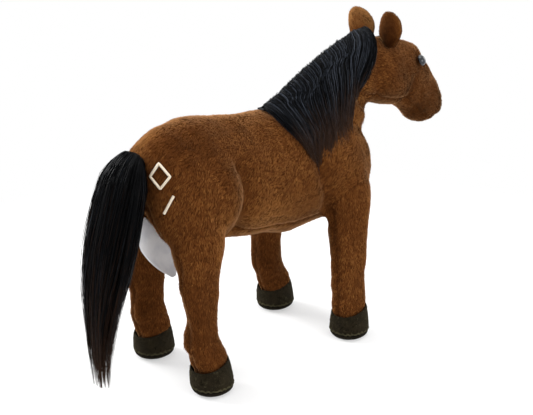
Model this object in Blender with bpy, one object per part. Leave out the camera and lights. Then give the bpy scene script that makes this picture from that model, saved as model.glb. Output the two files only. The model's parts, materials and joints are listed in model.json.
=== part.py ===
"""Standing plush horse: sewn pile covers over fibre filling, suede hooves, hair mane and tail.

The horse faces -Y and +X is its left side. Shapes are worked out standing on the floor with
y = 0 midway between the fore and hind hooves, then the whole horse is moved so that the
middle of its box, at the floor, is the world origin.
"""

import math

import bpy
from mathutils import Vector
from mathutils.bvhtree import BVHTree

# Fabric, seams and clearances
PILE_THICKNESS = 0.0024
SUEDE_THICKNESS = 0.0014
SEAM_GAP = 0.0004
PIECE_GAP = 0.00045
SWING_GAP = 0.0007
CUT_OVERRUN = 0.03
BLUNT_END_SHARE = 0.7

# Body, from the chest to the rump
BODY_LENGTH = 0.246
BODY_DEPTH = 0.116
BODY_WIDTH = 0.090
BODY_HEIGHT = 0.156
BODY_MIDDLE = -0.005
BODY_SIDES = 20
BELLY_GUSSET_COLUMNS = 4
BODY_POWER = 2.3
# place along the length, lift of the middle, half depth, half width
BODY_ROW_SHARES = (
    (-0.490, -0.060, 0.012, 0.016),
    (-0.482, -0.058, 0.130, 0.170),
    (-0.462, -0.048, 0.265, 0.335),
    (-0.415, -0.024, 0.360, 0.430),
    (-0.340, 0.004, 0.408, 0.470),
    (-0.206, 0.030, 0.446, 0.489),
    (-0.067, 0.028, 0.452, 0.489),
    (0.063, 0.030, 0.443, 0.483),
    (0.183, 0.056, 0.446, 0.478),
    (0.298, 0.078, 0.462, 0.478),
    (0.389, 0.066, 0.446, 0.456),
    (0.452, 0.034, 0.414, 0.385),
    (0.487, 0.048, 0.310, 0.260),
    (0.498, 0.062, 0.160, 0.140),
    (0.500, 0.070, 0.012, 0.016),
)

# Swells of the flesh over the leg roots
HAUNCH_SWELL = 0.012
HAUNCH_PLACE = 0.089
HAUNCH_LIFT = 0.155
HAUNCH_REACH = 0.034
SHOULDER_SWELL = 0.008
SHOULDER_PLACE = -0.080
SHOULDER_LIFT = 0.150
SHOULDER_REACH = 0.030

# Notch between the buttocks, where the seam runs up to the tail
NOTCH_SHARE = 0.80
NOTCH_FRONT = 0.075
NOTCH_BACK = 0.115
NOTCH_HALF_WIDTH = 0.016

# Neck, from inside the chest up to the head
NECK_LENGTH = 0.125
NECK_SLOPE = math.radians(37)
NECK_BASE_PLACE = -0.050
NECK_BASE_HEIGHT = 0.152
NECK_HALF_DEPTH = 0.060
NECK_HALF_WIDTH = 0.034
NECK_SIDES = 16
# place along the length, lift of the middle as a share of the half depth, depth, width
NECK_ROW_SHARES = (
    (0.00, 0.10, 0.78, 0.92),
    (0.20, 0.05, 0.97, 0.97),
    (0.42, 0.05, 0.88, 0.86),
    (0.63, 0.08, 0.75, 0.77),
    (0.82, 0.09, 0.61, 0.71),
    (1.00, 0.08, 0.52, 0.66),
)

# Head, in its own frame: along it towards the nose, and square to that
HEAD_PLACE = -0.134
HEAD_HEIGHT = 0.226
HEAD_SLOPE = math.radians(24)
HEAD_LENGTH = 0.125
HEAD_HALF_DEPTH = 0.033
HEAD_HALF_WIDTH = 0.027
HEAD_PIVOT_LIFT = 0.0045
HEAD_PIVOT_RADIUS = 0.035
HEAD_SIDES = 16
HEAD_GUSSET_COLUMNS = 4
# place along the length, middle and half depth as shares of the half depth, half width
HEAD_ROW_SHARES = (
    (0.00, 0.14, 0.98, 0.89),
    (0.17, 0.235, 0.965, 1.00),
    (0.34, 0.37, 0.955, 0.96),
    (0.47, 0.44, 0.92, 0.87),
    (0.60, 0.325, 0.86, 0.74),
    (0.71, 0.15, 0.84, 0.67),
    (0.81, 0.07, 0.73, 0.65),
    (0.905, 0.04, 0.50, 0.56),
    (0.97, 0.00, 0.28, 0.35),
    (1.00, 0.00, 0.040, 0.045),
)
# angle behind the pivot in degrees, and the half width there
HEAD_BACK_SHARES = ((84, 0.18), (58, 0.50), (30, 0.74))

# Legs
LEG_SIDES = 10
HIND_PIVOT_HEIGHT = 0.118
HIND_PIVOT_PLACE = 0.0890
HIND_PIVOT_RADIUS = 0.0225
HIND_HOOF_PLACE = 0.0805
HIND_ROOT_OUT = 0.039
HIND_HOOF_OUT = 0.043
HIND_HALF_WIDTH = 0.0185
LEFT_HIND_SET_FORWARD = 0.0055
# height, drift from the pivot towards the hoof, half depth, half width
HIND_ROW_SHARES = (
    (0.262, 0.75, 0.730, 0.820),
    (0.330, 0.30, 0.735, 0.790),
    (0.440, 0.04, 0.620, 0.730),
    (0.580, 0.00, 0.640, 0.740),
    (0.720, 0.00, 0.740, 0.790),
    (0.850, 0.00, 0.860, 0.870),
    (1.000, 0.00, 1.000, 1.000),
)
FORE_PIVOT_HEIGHT = 0.124
FORE_PIVOT_PLACE = -0.0815
FORE_PIVOT_RADIUS = 0.0215
FORE_HOOF_PLACE = -0.0785
FORE_ROOT_OUT = 0.038
FORE_HOOF_OUT = 0.0465
LEFT_FORE_SET_BACK = 0.0220
LEFT_FORE_HOOF_BACK = 0.0055
FORE_HALF_WIDTH = 0.0165
FORE_ROW_SHARES = (
    (0.250, 0.75, 0.760, 0.920),
    (0.320, 0.40, 0.760, 0.870),
    (0.430, 0.10, 0.700, 0.830),
    (0.580, 0.00, 0.700, 0.840),
    (0.720, 0.00, 0.750, 0.880),
    (0.850, 0.00, 0.850, 0.930),
    (1.000, 0.00, 1.000, 1.000),
)
LEG_CROWN_ANGLES = (30, 58, 82)
LEG_POWER = 2.2

# Hooves
HOOF_TOP_HEIGHT = 0.0262
HOOF_TOP_SLOPE = 0.25
HOOF_HALF_LENGTH = 0.0180
HOOF_HALF_WIDTH = 0.0168
SOLE_HEIGHT = 0.0060
SOLE_FLAT = 0.0005
# height between the sole and the hoof's top, length and width
HOOF_ROW_SHARES = ((0.0, 1.00, 1.00), (0.45, 1.00, 1.01), (1.0, 0.92, 0.93))
SOLE_ROW_SHARES = ((0.0, 0.72, 0.70), (0.35, 0.93, 0.92), (1.0, 1.00, 1.00))

# Ears
EAR_HEIGHT = 0.0288
EAR_WIDTH = 0.0280
EAR_CUP = 0.005
EAR_OUT = 0.0155
EAR_PLACE = -0.1500
EAR_LEAN_OUT = math.radians(7)
EAR_LEAN_BACK = math.radians(4)
EAR_TURN = math.radians(8)
EAR_LINING_THICKNESS = 0.0012
EAR_LAYER_GAP = 0.0007
EAR_ROOT_GAP = 0.0007
EAR_ROOT_LIFT = 0.0020
EAR_COLUMN_SHARES = (-1.0, -0.5, 0.0, 0.5, 1.0)
# height and width of the leaf
EAR_ROW_SHARES = ((0.0, 0.66), (0.22, 0.90), (0.5, 1.00), (0.78, 0.76), (0.94, 0.42), (1.0, 0.16))

# Eyes with their locking washers
EYE_RADIUS = 0.0048
EYE_HEIGHT = 0.0040
EYE_SHANK_RADIUS = 0.0013
EYE_SHANK_LENGTH = 0.0070
EYE_SEAT_GAP = 0.0005
EYE_PLACE_SHARE = 0.405
EYE_LIFT = 0.0290
EYE_SIDES = 12
WASHER_RADIUS = 0.0042
WASHER_THICKNESS = 0.0010
WASHER_SETBACK = 0.0009

# Mane
MANE_TAPE_WIDTH = 0.007
MANE_TAPE_THICKNESS = 0.0012
MANE_THICKNESS = 0.0045
MANE_STANDOFF = 0.0030
MANE_START = -0.012
MANE_END = -0.099
MANE_ROWS = 9
# places where the tips hang: back to front, then height
MANE_TIP_SHARES = (
    (-0.10, 0.925),
    (-0.25, 0.790),
    (-0.44, 0.800),
    (-0.59, 0.855),
    (-0.72, 0.960),
    (-0.82, 1.080),
)
MANE_COLUMN_SHARES = (0.13, 0.28, 0.44, 0.62, 0.82, 1.0)
MANE_REACH = 0.140
MANE_HEIGHT = 0.212

# Tail
TAIL_ROOT_HEIGHT = 0.193
DOCK_RADIUS = 0.0065
DOCK_LENGTH = 0.0080
TAIL_SIDES = 12
TAIL_REACH = 0.034
TAIL_DROP = 0.172
TAIL_HALF_WIDTH = 0.0250
TAIL_HALF_DEPTH = 0.0175
# place behind the dock, drop, half width, half depth, and lean of the row in degrees
TAIL_ROW_SHARES = (
    (0.00, -0.010, 0.30, 0.36, 90),
    (0.17, 0.000, 0.44, 0.52, 68),
    (0.38, 0.070, 0.68, 0.74, 42),
    (0.50, 0.190, 0.92, 0.94, 16),
    (0.60, 0.350, 1.00, 1.00, 8),
    (0.74, 0.540, 0.92, 0.94, 6),
    (0.86, 0.700, 0.72, 0.76, 4),
    (0.95, 0.840, 0.50, 0.54, 2),
    (1.00, 0.940, 0.28, 0.32, 0),
    (1.03, 0.994, 0.10, 0.12, 0),
)

# Care label, sewn into the seam under the tail
LABEL_WIDTH = 0.056
LABEL_LENGTH = 0.024
LABEL_THICKNESS = 0.0008
LABEL_PLACE = 0.058
LABEL_SEAM_SLOPE = math.radians(48)
LABEL_SWING = math.radians(12)
LABEL_GAP = 0.0014
# distance out from the seam, and width
LABEL_ROW_SHARES = ((0.0, 1.00), (0.4, 1.00), (0.75, 0.96), (0.93, 0.84), (1.0, 0.68))
LABEL_COLUMN_SHARES = (-0.5, -0.33, -0.17, 0.0, 0.17, 0.33, 0.5)

# Colours, sRGB, and roughness
BAY_PILE = ("#6e4527", 0.95)
BAY_PILE_DARK = ("#5a3415", 0.95)
EAR_PILE = ("#5a3016", 0.95)
FIBRE = ("#e8e4da", 0.9)
HOOF_SUEDE = ("#262018", 0.85)
SOLE_SUEDE = ("#1d1912", 0.85)
EYE_PLASTIC = ("#14161a", 0.12)
WASHER_PLASTIC = ("#d8d8d2", 0.4)
BLACK_HAIR = ("#0c0d11", 0.45)
HAIR_TAPE = ("#1a1a1c", 0.8)
LABEL_SATIN = ("#e6e6e4", 0.5)

UP = Vector((0, 0, 1))
LEFT = Vector((1, 0, 0))
BACK = Vector((0, 1, 0))


def linear_colour(code):
    """An sRGB hex colour as linear RGBA."""
    values = [int(code[i : i + 2], 16) / 255 for i in (1, 3, 5)]
    return [v / 12.92 if v <= 0.04045 else ((v + 0.055) / 1.055) ** 2.4 for v in values] + [1]


def material_of(name, finish):
    colour, roughness = finish
    material = bpy.data.materials.new(name + "_finish")
    material.use_nodes = True
    shader = material.node_tree.nodes["Principled BSDF"]
    shader.inputs["Base Color"].default_value = linear_colour(colour)
    shader.inputs["Roughness"].default_value = roughness
    shader.inputs["Metallic"].default_value = 0
    return material


def clear_scene():
    for old in list(bpy.data.objects):
        bpy.data.objects.remove(old, do_unlink=True)


class Horse:
    """Keeps the root empty and the pivot empties that the pieces hang from."""

    def __init__(self):
        self.root = self.empty("horse_root", Vector((0, 0, 0)), None)
        self.pivots = {"torso": self.root}

    def empty(self, name, place, parent):
        pivot = bpy.data.objects.new(name, None)
        bpy.context.collection.objects.link(pivot)
        pivot.parent = parent
        pivot.location = place
        return pivot

    def pivot(self, body, place):
        self.pivots[body] = self.empty(body + "_pivot", place, self.root)

    def piece(self, name, shape, finish, body="torso"):
        """One object from points and faces, with its origin on its body's pivot."""
        points, faces = shape
        pivot = self.pivots[body]
        offset = Vector((0, 0, 0)) if body == "torso" else pivot.location
        mesh = bpy.data.meshes.new(name)
        mesh.from_pydata([p - offset for p in points], [], faces)
        mesh.materials.append(material_of(name, finish))
        mesh.shade_smooth()
        mesh.set_sharp_from_angle(angle=math.radians(40))
        made = bpy.data.objects.new(name, mesh)
        bpy.context.collection.objects.link(made)
        made.parent = pivot
        return made

    def cutter(self, name, shape):
        """A closed shape that only cuts others."""
        made = self.piece(name, shape, FIBRE)
        made.hide_render = True
        made.display_type = "WIRE"
        return made


def cut(piece, *cutters):
    for cutter in cutters:
        modifier = piece.modifiers.new("cut_" + cutter.name, "BOOLEAN")
        modifier.operation = "DIFFERENCE"
        modifier.object = cutter


def ring(middle, upward, half_tall, half_wide, sides, power=2.0):
    """Points round a superellipse, from its upward end over the left side and down."""
    points = []
    for k in range(sides):
        angle = math.tau * k / sides
        tall = math.copysign(abs(math.cos(angle)) ** (2 / power), math.cos(angle))
        wide = math.copysign(abs(math.sin(angle)) ** (2 / power), math.sin(angle))
        points.append(middle + upward * (half_tall * tall) + LEFT * (half_wide * wide))
    return points


def offset_rows(rows, distance):
    """The same rows of closed rings, moved along the surface's normals."""
    moved = []
    last = len(rows) - 1
    step = distance if outward(rows) else -distance
    for r, row in enumerate(rows):
        after, before = rows[min(r + 1, last)], rows[max(r - 1, 0)]
        normals = []
        for k in range(len(row)):
            around = row[(k + 1) % len(row)] - row[k - 1]
            normals.append(around.cross(after[k] - before[k]).normalized())
        mean = sum(normals, Vector((0, 0, 0))) / len(row)
        if r in (0, last) and mean.length > BLUNT_END_SHARE:
            normals = [mean.normalized()] * len(row)
        moved.append([point + normal * step for point, normal in zip(row, normals)])
    return moved


def outward(rows):
    """Whether the rings' own order gives normals that point out of the form."""
    half = len(rows) // 2
    row, after, before = rows[half], rows[min(half + 1, len(rows) - 1)], rows[half - 1]
    middle = sum(row, Vector((0, 0, 0))) / len(row)
    normal = (row[1] - row[-1]).cross(after[0] - before[0])
    return normal.dot(row[0] - middle) > 0


def facing_out(points, faces):
    """The same closed shape, with its faces turned to point outwards."""
    volume = 0
    for face in faces:
        first = points[face[0]]
        for k in range(1, len(face) - 1):
            volume += first.dot(points[face[k]].cross(points[face[k + 1]]))
    return points, faces if volume > 0 else [face[::-1] for face in faces]


def joined(shapes):
    """Several closed shapes as one."""
    points, faces = [], []
    for more_points, more_faces in shapes:
        faces += [tuple(i + len(points) for i in face) for face in more_faces]
        points += more_points
    return points, faces


def closed_form(rows):
    """A solid from rings, with flat ends."""
    count = len(rows[0])
    points = [p for row in rows for p in row]
    faces = []
    for r in range(len(rows) - 1):
        for k in range(count):
            a, b = r * count + k, r * count + (k + 1) % count
            faces += [(a, b, b + count), (a, b + count, a + count)]
    faces.append(tuple(range(count))[::-1])
    top = (len(rows) - 1) * count
    faces.append(tuple(range(top, top + count)))
    return facing_out(points, faces)


def wall_form(outer, inner, closed=False):
    """A wall between two grids of points: a strip, or a sleeve where the rows are closed."""
    rows, columns = len(outer), len(outer[0])
    points = [p for row in outer for p in row] + [p for row in inner for p in row]
    shift = rows * columns
    spans = range(columns if closed else columns - 1)
    faces = []
    for r in range(rows - 1):
        for k in spans:
            a, b = r * columns + k, r * columns + (k + 1) % columns
            for triangle in ((a, b, b + columns), (a, b + columns, a + columns)):
                faces.append(triangle)
                faces.append(tuple(i + shift for i in triangle[::-1]))
        if not closed:
            for k in (0, columns - 1):
                a = r * columns + k
                edge = (a, a + columns, a + columns + shift, a + shift)
                faces.append(edge if k == 0 else edge[::-1])
    for r in (0, rows - 1):
        for k in spans:
            a, b = r * columns + k, r * columns + (k + 1) % columns
            edge = (b, a, a + shift, b + shift)
            faces.append(edge if r == 0 else edge[::-1])
    return facing_out(points, faces)


def panel(outer, inner, first, last):
    """The wall between two sets of rings from one column to another, held back from its seams."""

    def arc(row, other):
        count = len(row)
        line = [row[k % count].copy() for k in range(first, last + 1)]
        for end, beside in ((0, 1), (-1, -2)):
            step = line[beside] - line[end]
            line[end] = line[end] + step.normalized() * min(SEAM_GAP / 2, step.length / 4)
        return line

    return wall_form([arc(a, b) for a, b in zip(outer, inner)], [arc(a, b) for a, b in zip(inner, outer)])


def prism(outline, start, end):
    """A closed shape with this outline across Y and Z, between two places along X."""
    points = [Vector((start, y, z)) for y, z in outline] + [Vector((end, y, z)) for y, z in outline]
    count = len(outline)
    faces = [(k, (k + 1) % count, (k + 1) % count + count, k + count) for k in range(count)]
    faces += [tuple(range(count))[::-1], tuple(range(count, 2 * count))]
    return facing_out(points, faces)


def arch(place, height, radius, forward, flare, reach, start, end):
    """A prism with a round crown about a pivot, open along the direction forward."""
    steps = 16
    side = Vector((-forward.z, forward.y))
    ahead = Vector((forward.y, forward.z))
    outline = []
    for k in range(steps + 1):
        turn = math.pi * k / steps
        point = -ahead * (math.sin(turn) * radius) + side * (math.cos(turn) * radius)
        outline.append((place + point.x, height + point.y))
    for across, along in ((-flare, 0), (-flare, reach), (flare, reach), (flare, 0)):
        if along == 0 and flare <= radius:
            continue
        point = ahead * along + side * across
        outline.append((place + point.x, height + point.y))
    return prism(outline, start, end)


def body_rows(sides):
    rows = []
    for along, lift, tall, wide in BODY_ROW_SHARES:
        middle = Vector((0, BODY_MIDDLE + along * BODY_LENGTH, BODY_HEIGHT + lift * BODY_DEPTH))
        row = ring(middle, UP, tall * BODY_DEPTH, wide * BODY_WIDTH, sides, BODY_POWER)
        rows.append([notched(swollen(point, wide), middle) for point in row])
    return rows


def notched(point, middle):
    """The point raised where the seam runs up between the buttocks."""
    if point.z > middle.z:
        return point
    back = (point.y - NOTCH_FRONT) / (NOTCH_BACK - NOTCH_FRONT)
    back = min(max(back, 0), 1)
    share = NOTCH_SHARE * back * back * (3 - 2 * back)
    share *= math.exp(-((point.x / NOTCH_HALF_WIDTH) ** 2))
    return point + UP * (share * (middle.z - point.z))


def swollen(point, wide_share):
    """The point moved sideways by the swells of the haunch and the shoulder."""
    side = point.x / (wide_share * BODY_WIDTH)
    swell = 0
    for size, place, lift, reach in (
        (HAUNCH_SWELL, HAUNCH_PLACE, HAUNCH_LIFT, HAUNCH_REACH),
        (SHOULDER_SWELL, SHOULDER_PLACE, SHOULDER_LIFT, SHOULDER_REACH),
    ):
        away = ((point.y - place) / reach) ** 2 + ((point.z - lift) / reach) ** 2
        swell += size * math.exp(-away)
    return point + LEFT * (side * swell)


def neck_rows():
    ahead = Vector((0, -math.cos(NECK_SLOPE), math.sin(NECK_SLOPE)))
    crest = Vector((0, math.sin(NECK_SLOPE), math.cos(NECK_SLOPE)))
    base = Vector((0, NECK_BASE_PLACE, NECK_BASE_HEIGHT))
    rows = []
    for along, lift, tall, wide in NECK_ROW_SHARES:
        middle = base + ahead * (along * NECK_LENGTH) + crest * (lift * NECK_HALF_DEPTH)
        rows.append(
            ring(middle, crest, tall * NECK_HALF_DEPTH, wide * NECK_HALF_WIDTH, NECK_SIDES, 2.1)
        )
    return rows


def head_frame():
    """The head's start, and its directions towards the nose and square to that."""
    start = Vector((0, HEAD_PLACE, HEAD_HEIGHT))
    ahead = Vector((0, -math.cos(HEAD_SLOPE), -math.sin(HEAD_SLOPE)))
    brow = Vector((0, -math.sin(HEAD_SLOPE), math.cos(HEAD_SLOPE)))
    return start, ahead, brow


def head_pivot():
    start, _, brow = head_frame()
    return start + brow * HEAD_PIVOT_LIFT


def head_rows():
    start, ahead, brow = head_frame()
    rows = []
    for degrees, wide in HEAD_BACK_SHARES:
        angle = math.radians(degrees)
        middle = head_pivot() - ahead * (math.sin(angle) * HEAD_PIVOT_RADIUS)
        tall = math.cos(angle) * HEAD_PIVOT_RADIUS
        rows.append(ring(middle, brow, tall, wide * HEAD_HALF_WIDTH, HEAD_SIDES, 2.1))
    for along, lift, tall, wide in HEAD_ROW_SHARES:
        middle = start + ahead * (along * HEAD_LENGTH) + brow * (lift * HEAD_HALF_DEPTH)
        rows.append(
            ring(middle, brow, tall * HEAD_HALF_DEPTH, wide * HEAD_HALF_WIDTH, HEAD_SIDES, 2.2)
        )
    return rows


class Leg:
    """The sizes and places of one leg. side is 1 on the left and -1 on the right."""

    def __init__(self, name, side, fore):
        self.name = name
        self.side = side
        if fore:
            self.height, self.place = FORE_PIVOT_HEIGHT, FORE_PIVOT_PLACE
            self.radius, self.half_width = FORE_PIVOT_RADIUS, FORE_HALF_WIDTH
            self.hoof_place, self.shares = FORE_HOOF_PLACE, FORE_ROW_SHARES
            if side > 0:
                self.place += LEFT_FORE_SET_BACK
                self.hoof_place += LEFT_FORE_HOOF_BACK
            self.root_out, self.hoof_out = FORE_ROOT_OUT, FORE_HOOF_OUT
        else:
            self.height, self.place = HIND_PIVOT_HEIGHT, HIND_PIVOT_PLACE
            self.radius, self.half_width = HIND_PIVOT_RADIUS, HIND_HALF_WIDTH
            self.hoof_place, self.shares = HIND_HOOF_PLACE, HIND_ROW_SHARES
            self.root_out, self.hoof_out = HIND_ROOT_OUT, HIND_HOOF_OUT
            if side > 0:
                self.place -= LEFT_HIND_SET_FORWARD
                self.hoof_place -= LEFT_HIND_SET_FORWARD

    def pivot(self):
        return Vector((self.side * self.root_out, self.place, self.height))

    def out_at(self, height):
        """How far out the leg's middle is at a height."""
        share = min(height / self.height, 1)
        return self.side * (self.hoof_out + (self.root_out - self.hoof_out) * share)

    def level_ring(self, height, place, half_long, half_wide, slope=0.0):
        """A ring lying level, or rising towards the toe by slope."""
        middle = Vector((self.out_at(height), place, height))
        toe = Vector((0, -1, slope))
        return ring(middle, toe, half_long, half_wide, LEG_SIDES, LEG_POWER)

    def hoof_rows(self):
        top = HOOF_TOP_HEIGHT
        rows = []
        for share, long_share, wide_share in HOOF_ROW_SHARES:
            height = SOLE_HEIGHT + PIECE_GAP / 2 + share * (top - SOLE_HEIGHT - PIECE_GAP)
            rows.append(
                self.level_ring(
                    height,
                    self.hoof_place + share * self.hoof_lean(),
                    long_share * HOOF_HALF_LENGTH,
                    wide_share * HOOF_HALF_WIDTH,
                    share * HOOF_TOP_SLOPE,
                )
            )
        return rows

    def hoof_lean(self):
        """How far the hoof's top lies behind its sole."""
        first = self.shares[0]
        top_place = self.place + first[1] * (self.hoof_place - self.place)
        return top_place - self.hoof_place

    def sole_rows(self):
        rows = []
        for share, long_share, wide_share in SOLE_ROW_SHARES:
            height = share * (SOLE_HEIGHT - PIECE_GAP / 2)
            rows.append(
                self.level_ring(
                    height,
                    self.hoof_place,
                    long_share * HOOF_HALF_LENGTH,
                    wide_share * HOOF_HALF_WIDTH,
                )
            )
        return rows

    def cover_rows(self):
        """Rings of the pile cover, from the hoof's top up to the round crown."""
        rows = []
        for number, (height_share, drift, long_share, wide_share) in enumerate(self.shares):
            slope = HOOF_TOP_SLOPE if number == 0 else 0.0
            if number == 1:
                slope = HOOF_TOP_SLOPE / 2
            height = height_share * self.height
            if number == 0:
                height = HOOF_TOP_HEIGHT + PIECE_GAP
            place = self.place + drift * (self.hoof_place - self.place)
            rows.append(
                self.level_ring(
                    height, place, long_share * self.radius, wide_share * self.half_width, slope
                )
            )
        for degrees in LEG_CROWN_ANGLES:
            angle = math.radians(degrees)
            height = self.height + math.sin(angle) * self.radius
            rows.append(
                self.level_ring(
                    height,
                    self.place,
                    math.cos(angle) * self.radius,
                    (0.35 + 0.65 * math.cos(angle)) * self.half_width,
                )
            )
        return rows

    def filling_rows(self):
        """Rings of the fibre filling, from just over the sole up to the crown."""
        inside = PILE_THICKNESS + PIECE_GAP
        lower = offset_rows(self.hoof_rows(), -(SUEDE_THICKNESS + PIECE_GAP))
        upper = offset_rows(self.cover_rows(), -inside)
        floor = [Vector((p.x, p.y, SOLE_HEIGHT + PIECE_GAP)) for p in lower[0]]
        return [floor] + lower[1:2] + upper

    def arch_cutter(self):
        """The space for the crown and its swing, open downwards."""
        inner = self.side * (self.root_out - self.half_width - SWING_GAP)
        outer = self.side * (self.root_out + self.half_width + CUT_OVERRUN)
        radius = self.radius + SWING_GAP
        down = -UP
        return arch(
            self.place, self.height, radius, down, radius, self.height, inner, outer
        )


def build_leg(horse, leg):
    body = "leg_" + leg.name
    horse.pivot(body, leg.pivot())
    outer = leg.cover_rows()
    inner = offset_rows(outer, -PILE_THICKNESS)
    half = LEG_SIDES // 2
    left, right = panel(outer, inner, 0, half), panel(outer, inner, half, LEG_SIDES)
    outside, inside = (left, right) if leg.side > 0 else (right, left)
    horse.piece(leg.name + "_leg_outer_panel", outside, BAY_PILE, body)
    horse.piece(leg.name + "_leg_inner_panel", inside, BAY_PILE_DARK, body)
    horse.piece(leg.name + "_leg_filling", closed_form(leg.filling_rows()), FIBRE, body)
    hoof = leg.hoof_rows()
    hoof_inside = offset_rows(hoof, -SUEDE_THICKNESS)
    for k, point in enumerate(hoof_inside[0]):
        point.z = hoof[0][k].z
    horse.piece(leg.name + "_hoof_cover", wall_form(hoof, hoof_inside, True), HOOF_SUEDE, body)
    horse.piece(leg.name + "_hoof_sole", closed_form(leg.sole_rows()), SOLE_SUEDE, body)


def build_body(horse, leg_spaces, neck_inside):
    outer = body_rows(BODY_SIDES)
    inner = offset_rows(outer, -PILE_THICKNESS)
    half_gusset = BELLY_GUSSET_COLUMNS // 2
    bottom = BODY_SIDES // 2
    parts = (
        ("left_side_panel", 0, bottom - half_gusset, BAY_PILE),
        ("right_side_panel", bottom + half_gusset, BODY_SIDES, BAY_PILE),
        ("belly_gusset", bottom - half_gusset, bottom + half_gusset, BAY_PILE_DARK),
    )
    for name, first, last, finish in parts:
        made = horse.piece(name, panel(outer, inner, first, last), finish)
        cut(made, leg_spaces, neck_inside)
    filling = offset_rows(outer, -(PILE_THICKNESS + PIECE_GAP))
    made = horse.piece("body_filling", closed_form(filling), FIBRE)
    cut(made, leg_spaces)
    envelope = horse.cutter("body_envelope", closed_form(offset_rows(outer, PIECE_GAP)))
    core = horse.cutter("body_core", closed_form(offset_rows(outer, -PILE_THICKNESS)))
    return envelope, core


def build_neck(horse, envelope, core, head_space):
    outer = neck_rows()
    inner = offset_rows(outer, -PILE_THICKNESS)
    half = NECK_SIDES // 2
    for name, first, last in (("left_neck_panel", 0, half), ("right_neck_panel", half, NECK_SIDES)):
        made = horse.piece(name, panel(outer, inner, first, last), BAY_PILE)
        cut(made, envelope, head_space)
    filling = closed_form(offset_rows(outer, -(PILE_THICKNESS + PIECE_GAP)))
    made = horse.piece("neck_filling", filling, FIBRE)
    cut(made, core, head_space)


def tree_of(shape):
    points, faces = shape
    return BVHTree.FromPolygons(points, faces)


def frame_towards(normal):
    """Two directions square to a normal."""
    first = normal.cross(UP).normalized()
    return first, normal.cross(first).normalized()


def turned(profile, place, axis, sides):
    """A solid turned about an axis: profile holds distances along it and radii."""
    first, second = frame_towards(axis)
    rows = []
    for along, radius in profile:
        rows.append(
            [
                place
                + axis * along
                + (first * math.cos(math.tau * k / sides) + second * math.sin(math.tau * k / sides))
                * radius
                for k in range(sides)
            ]
        )
    return rows


def build_eyes(horse, head_tree, head_panels, head_filling):
    start, ahead, brow = head_frame()
    for side, word in ((1, "left"), (-1, "right")):
        level = start + ahead * (EYE_PLACE_SHARE * HEAD_LENGTH) + brow * EYE_LIFT
        beside = level + LEFT * (side * HEAD_HALF_WIDTH * 2)
        hit, normal, _, _ = head_tree.ray_cast(beside, -LEFT * side)
        if normal.dot(LEFT * side) < 0:
            normal = -normal
        seat = hit + normal * EYE_SEAT_GAP
        dome = [(-EYE_SHANK_LENGTH, EYE_SHANK_RADIUS), (0, EYE_SHANK_RADIUS), (0, EYE_RADIUS)]
        for degrees in (25, 50, 75):
            angle = math.radians(degrees)
            dome.append((math.sin(angle) * EYE_HEIGHT, math.cos(angle) * EYE_RADIUS))
        eye = closed_form(turned(dome, seat, normal, EYE_SIDES))
        horse.piece(word + "_eye", eye, EYE_PLASTIC, "head")
        washer_start = -(EYE_SEAT_GAP + PILE_THICKNESS + WASHER_SETBACK + WASHER_THICKNESS)
        hole = EYE_SHANK_RADIUS + PIECE_GAP / 2
        rim = [(washer_start, WASHER_RADIUS), (washer_start + WASHER_THICKNESS, WASHER_RADIUS)]
        bore = [(washer_start, hole), (washer_start + WASHER_THICKNESS, hole)]
        rows = turned(rim, seat, normal, EYE_SIDES), turned(bore, seat, normal, EYE_SIDES)
        horse.piece(word + "_eye_washer", wall_form(*rows, True), WASHER_PLASTIC, "head")
        passage = [(-EYE_RADIUS - EYE_SHANK_LENGTH, hole), (EYE_RADIUS, hole)]
        passage = closed_form(turned(passage, seat, normal, EYE_SIDES))
        hole_cutter = horse.cutter(word + "_shank_passage", passage)
        for made in head_panels:
            cut(made, hole_cutter)
        pocket = [
            (-EYE_SHANK_LENGTH - PIECE_GAP, WASHER_RADIUS + PIECE_GAP),
            (EYE_RADIUS, WASHER_RADIUS + PIECE_GAP),
        ]
        pocket = closed_form(turned(pocket, seat, normal, EYE_SIDES))
        cut(head_filling, horse.cutter(word + "_washer_pocket", pocket))


def build_head(horse):
    horse.pivot("head", head_pivot())
    outer = head_rows()
    inner = offset_rows(outer, -PILE_THICKNESS)
    half_gusset = HEAD_GUSSET_COLUMNS // 2
    bottom = HEAD_SIDES // 2
    parts = (
        ("left_cheek_panel", 0, bottom - half_gusset, BAY_PILE),
        ("right_cheek_panel", bottom + half_gusset, HEAD_SIDES, BAY_PILE),
        ("jaw_gusset", bottom - half_gusset, bottom + half_gusset, BAY_PILE_DARK),
    )
    panels = []
    for name, first, last, finish in parts:
        panels.append(horse.piece(name, panel(outer, inner, first, last), finish, "head"))
    filling = closed_form(offset_rows(outer, -(PILE_THICKNESS + PIECE_GAP)))
    filling = horse.piece("head_filling", filling, FIBRE, "head")
    tree = tree_of(closed_form(outer))
    build_eyes(horse, tree, panels[:2], filling)
    build_ears(horse, tree)


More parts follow.
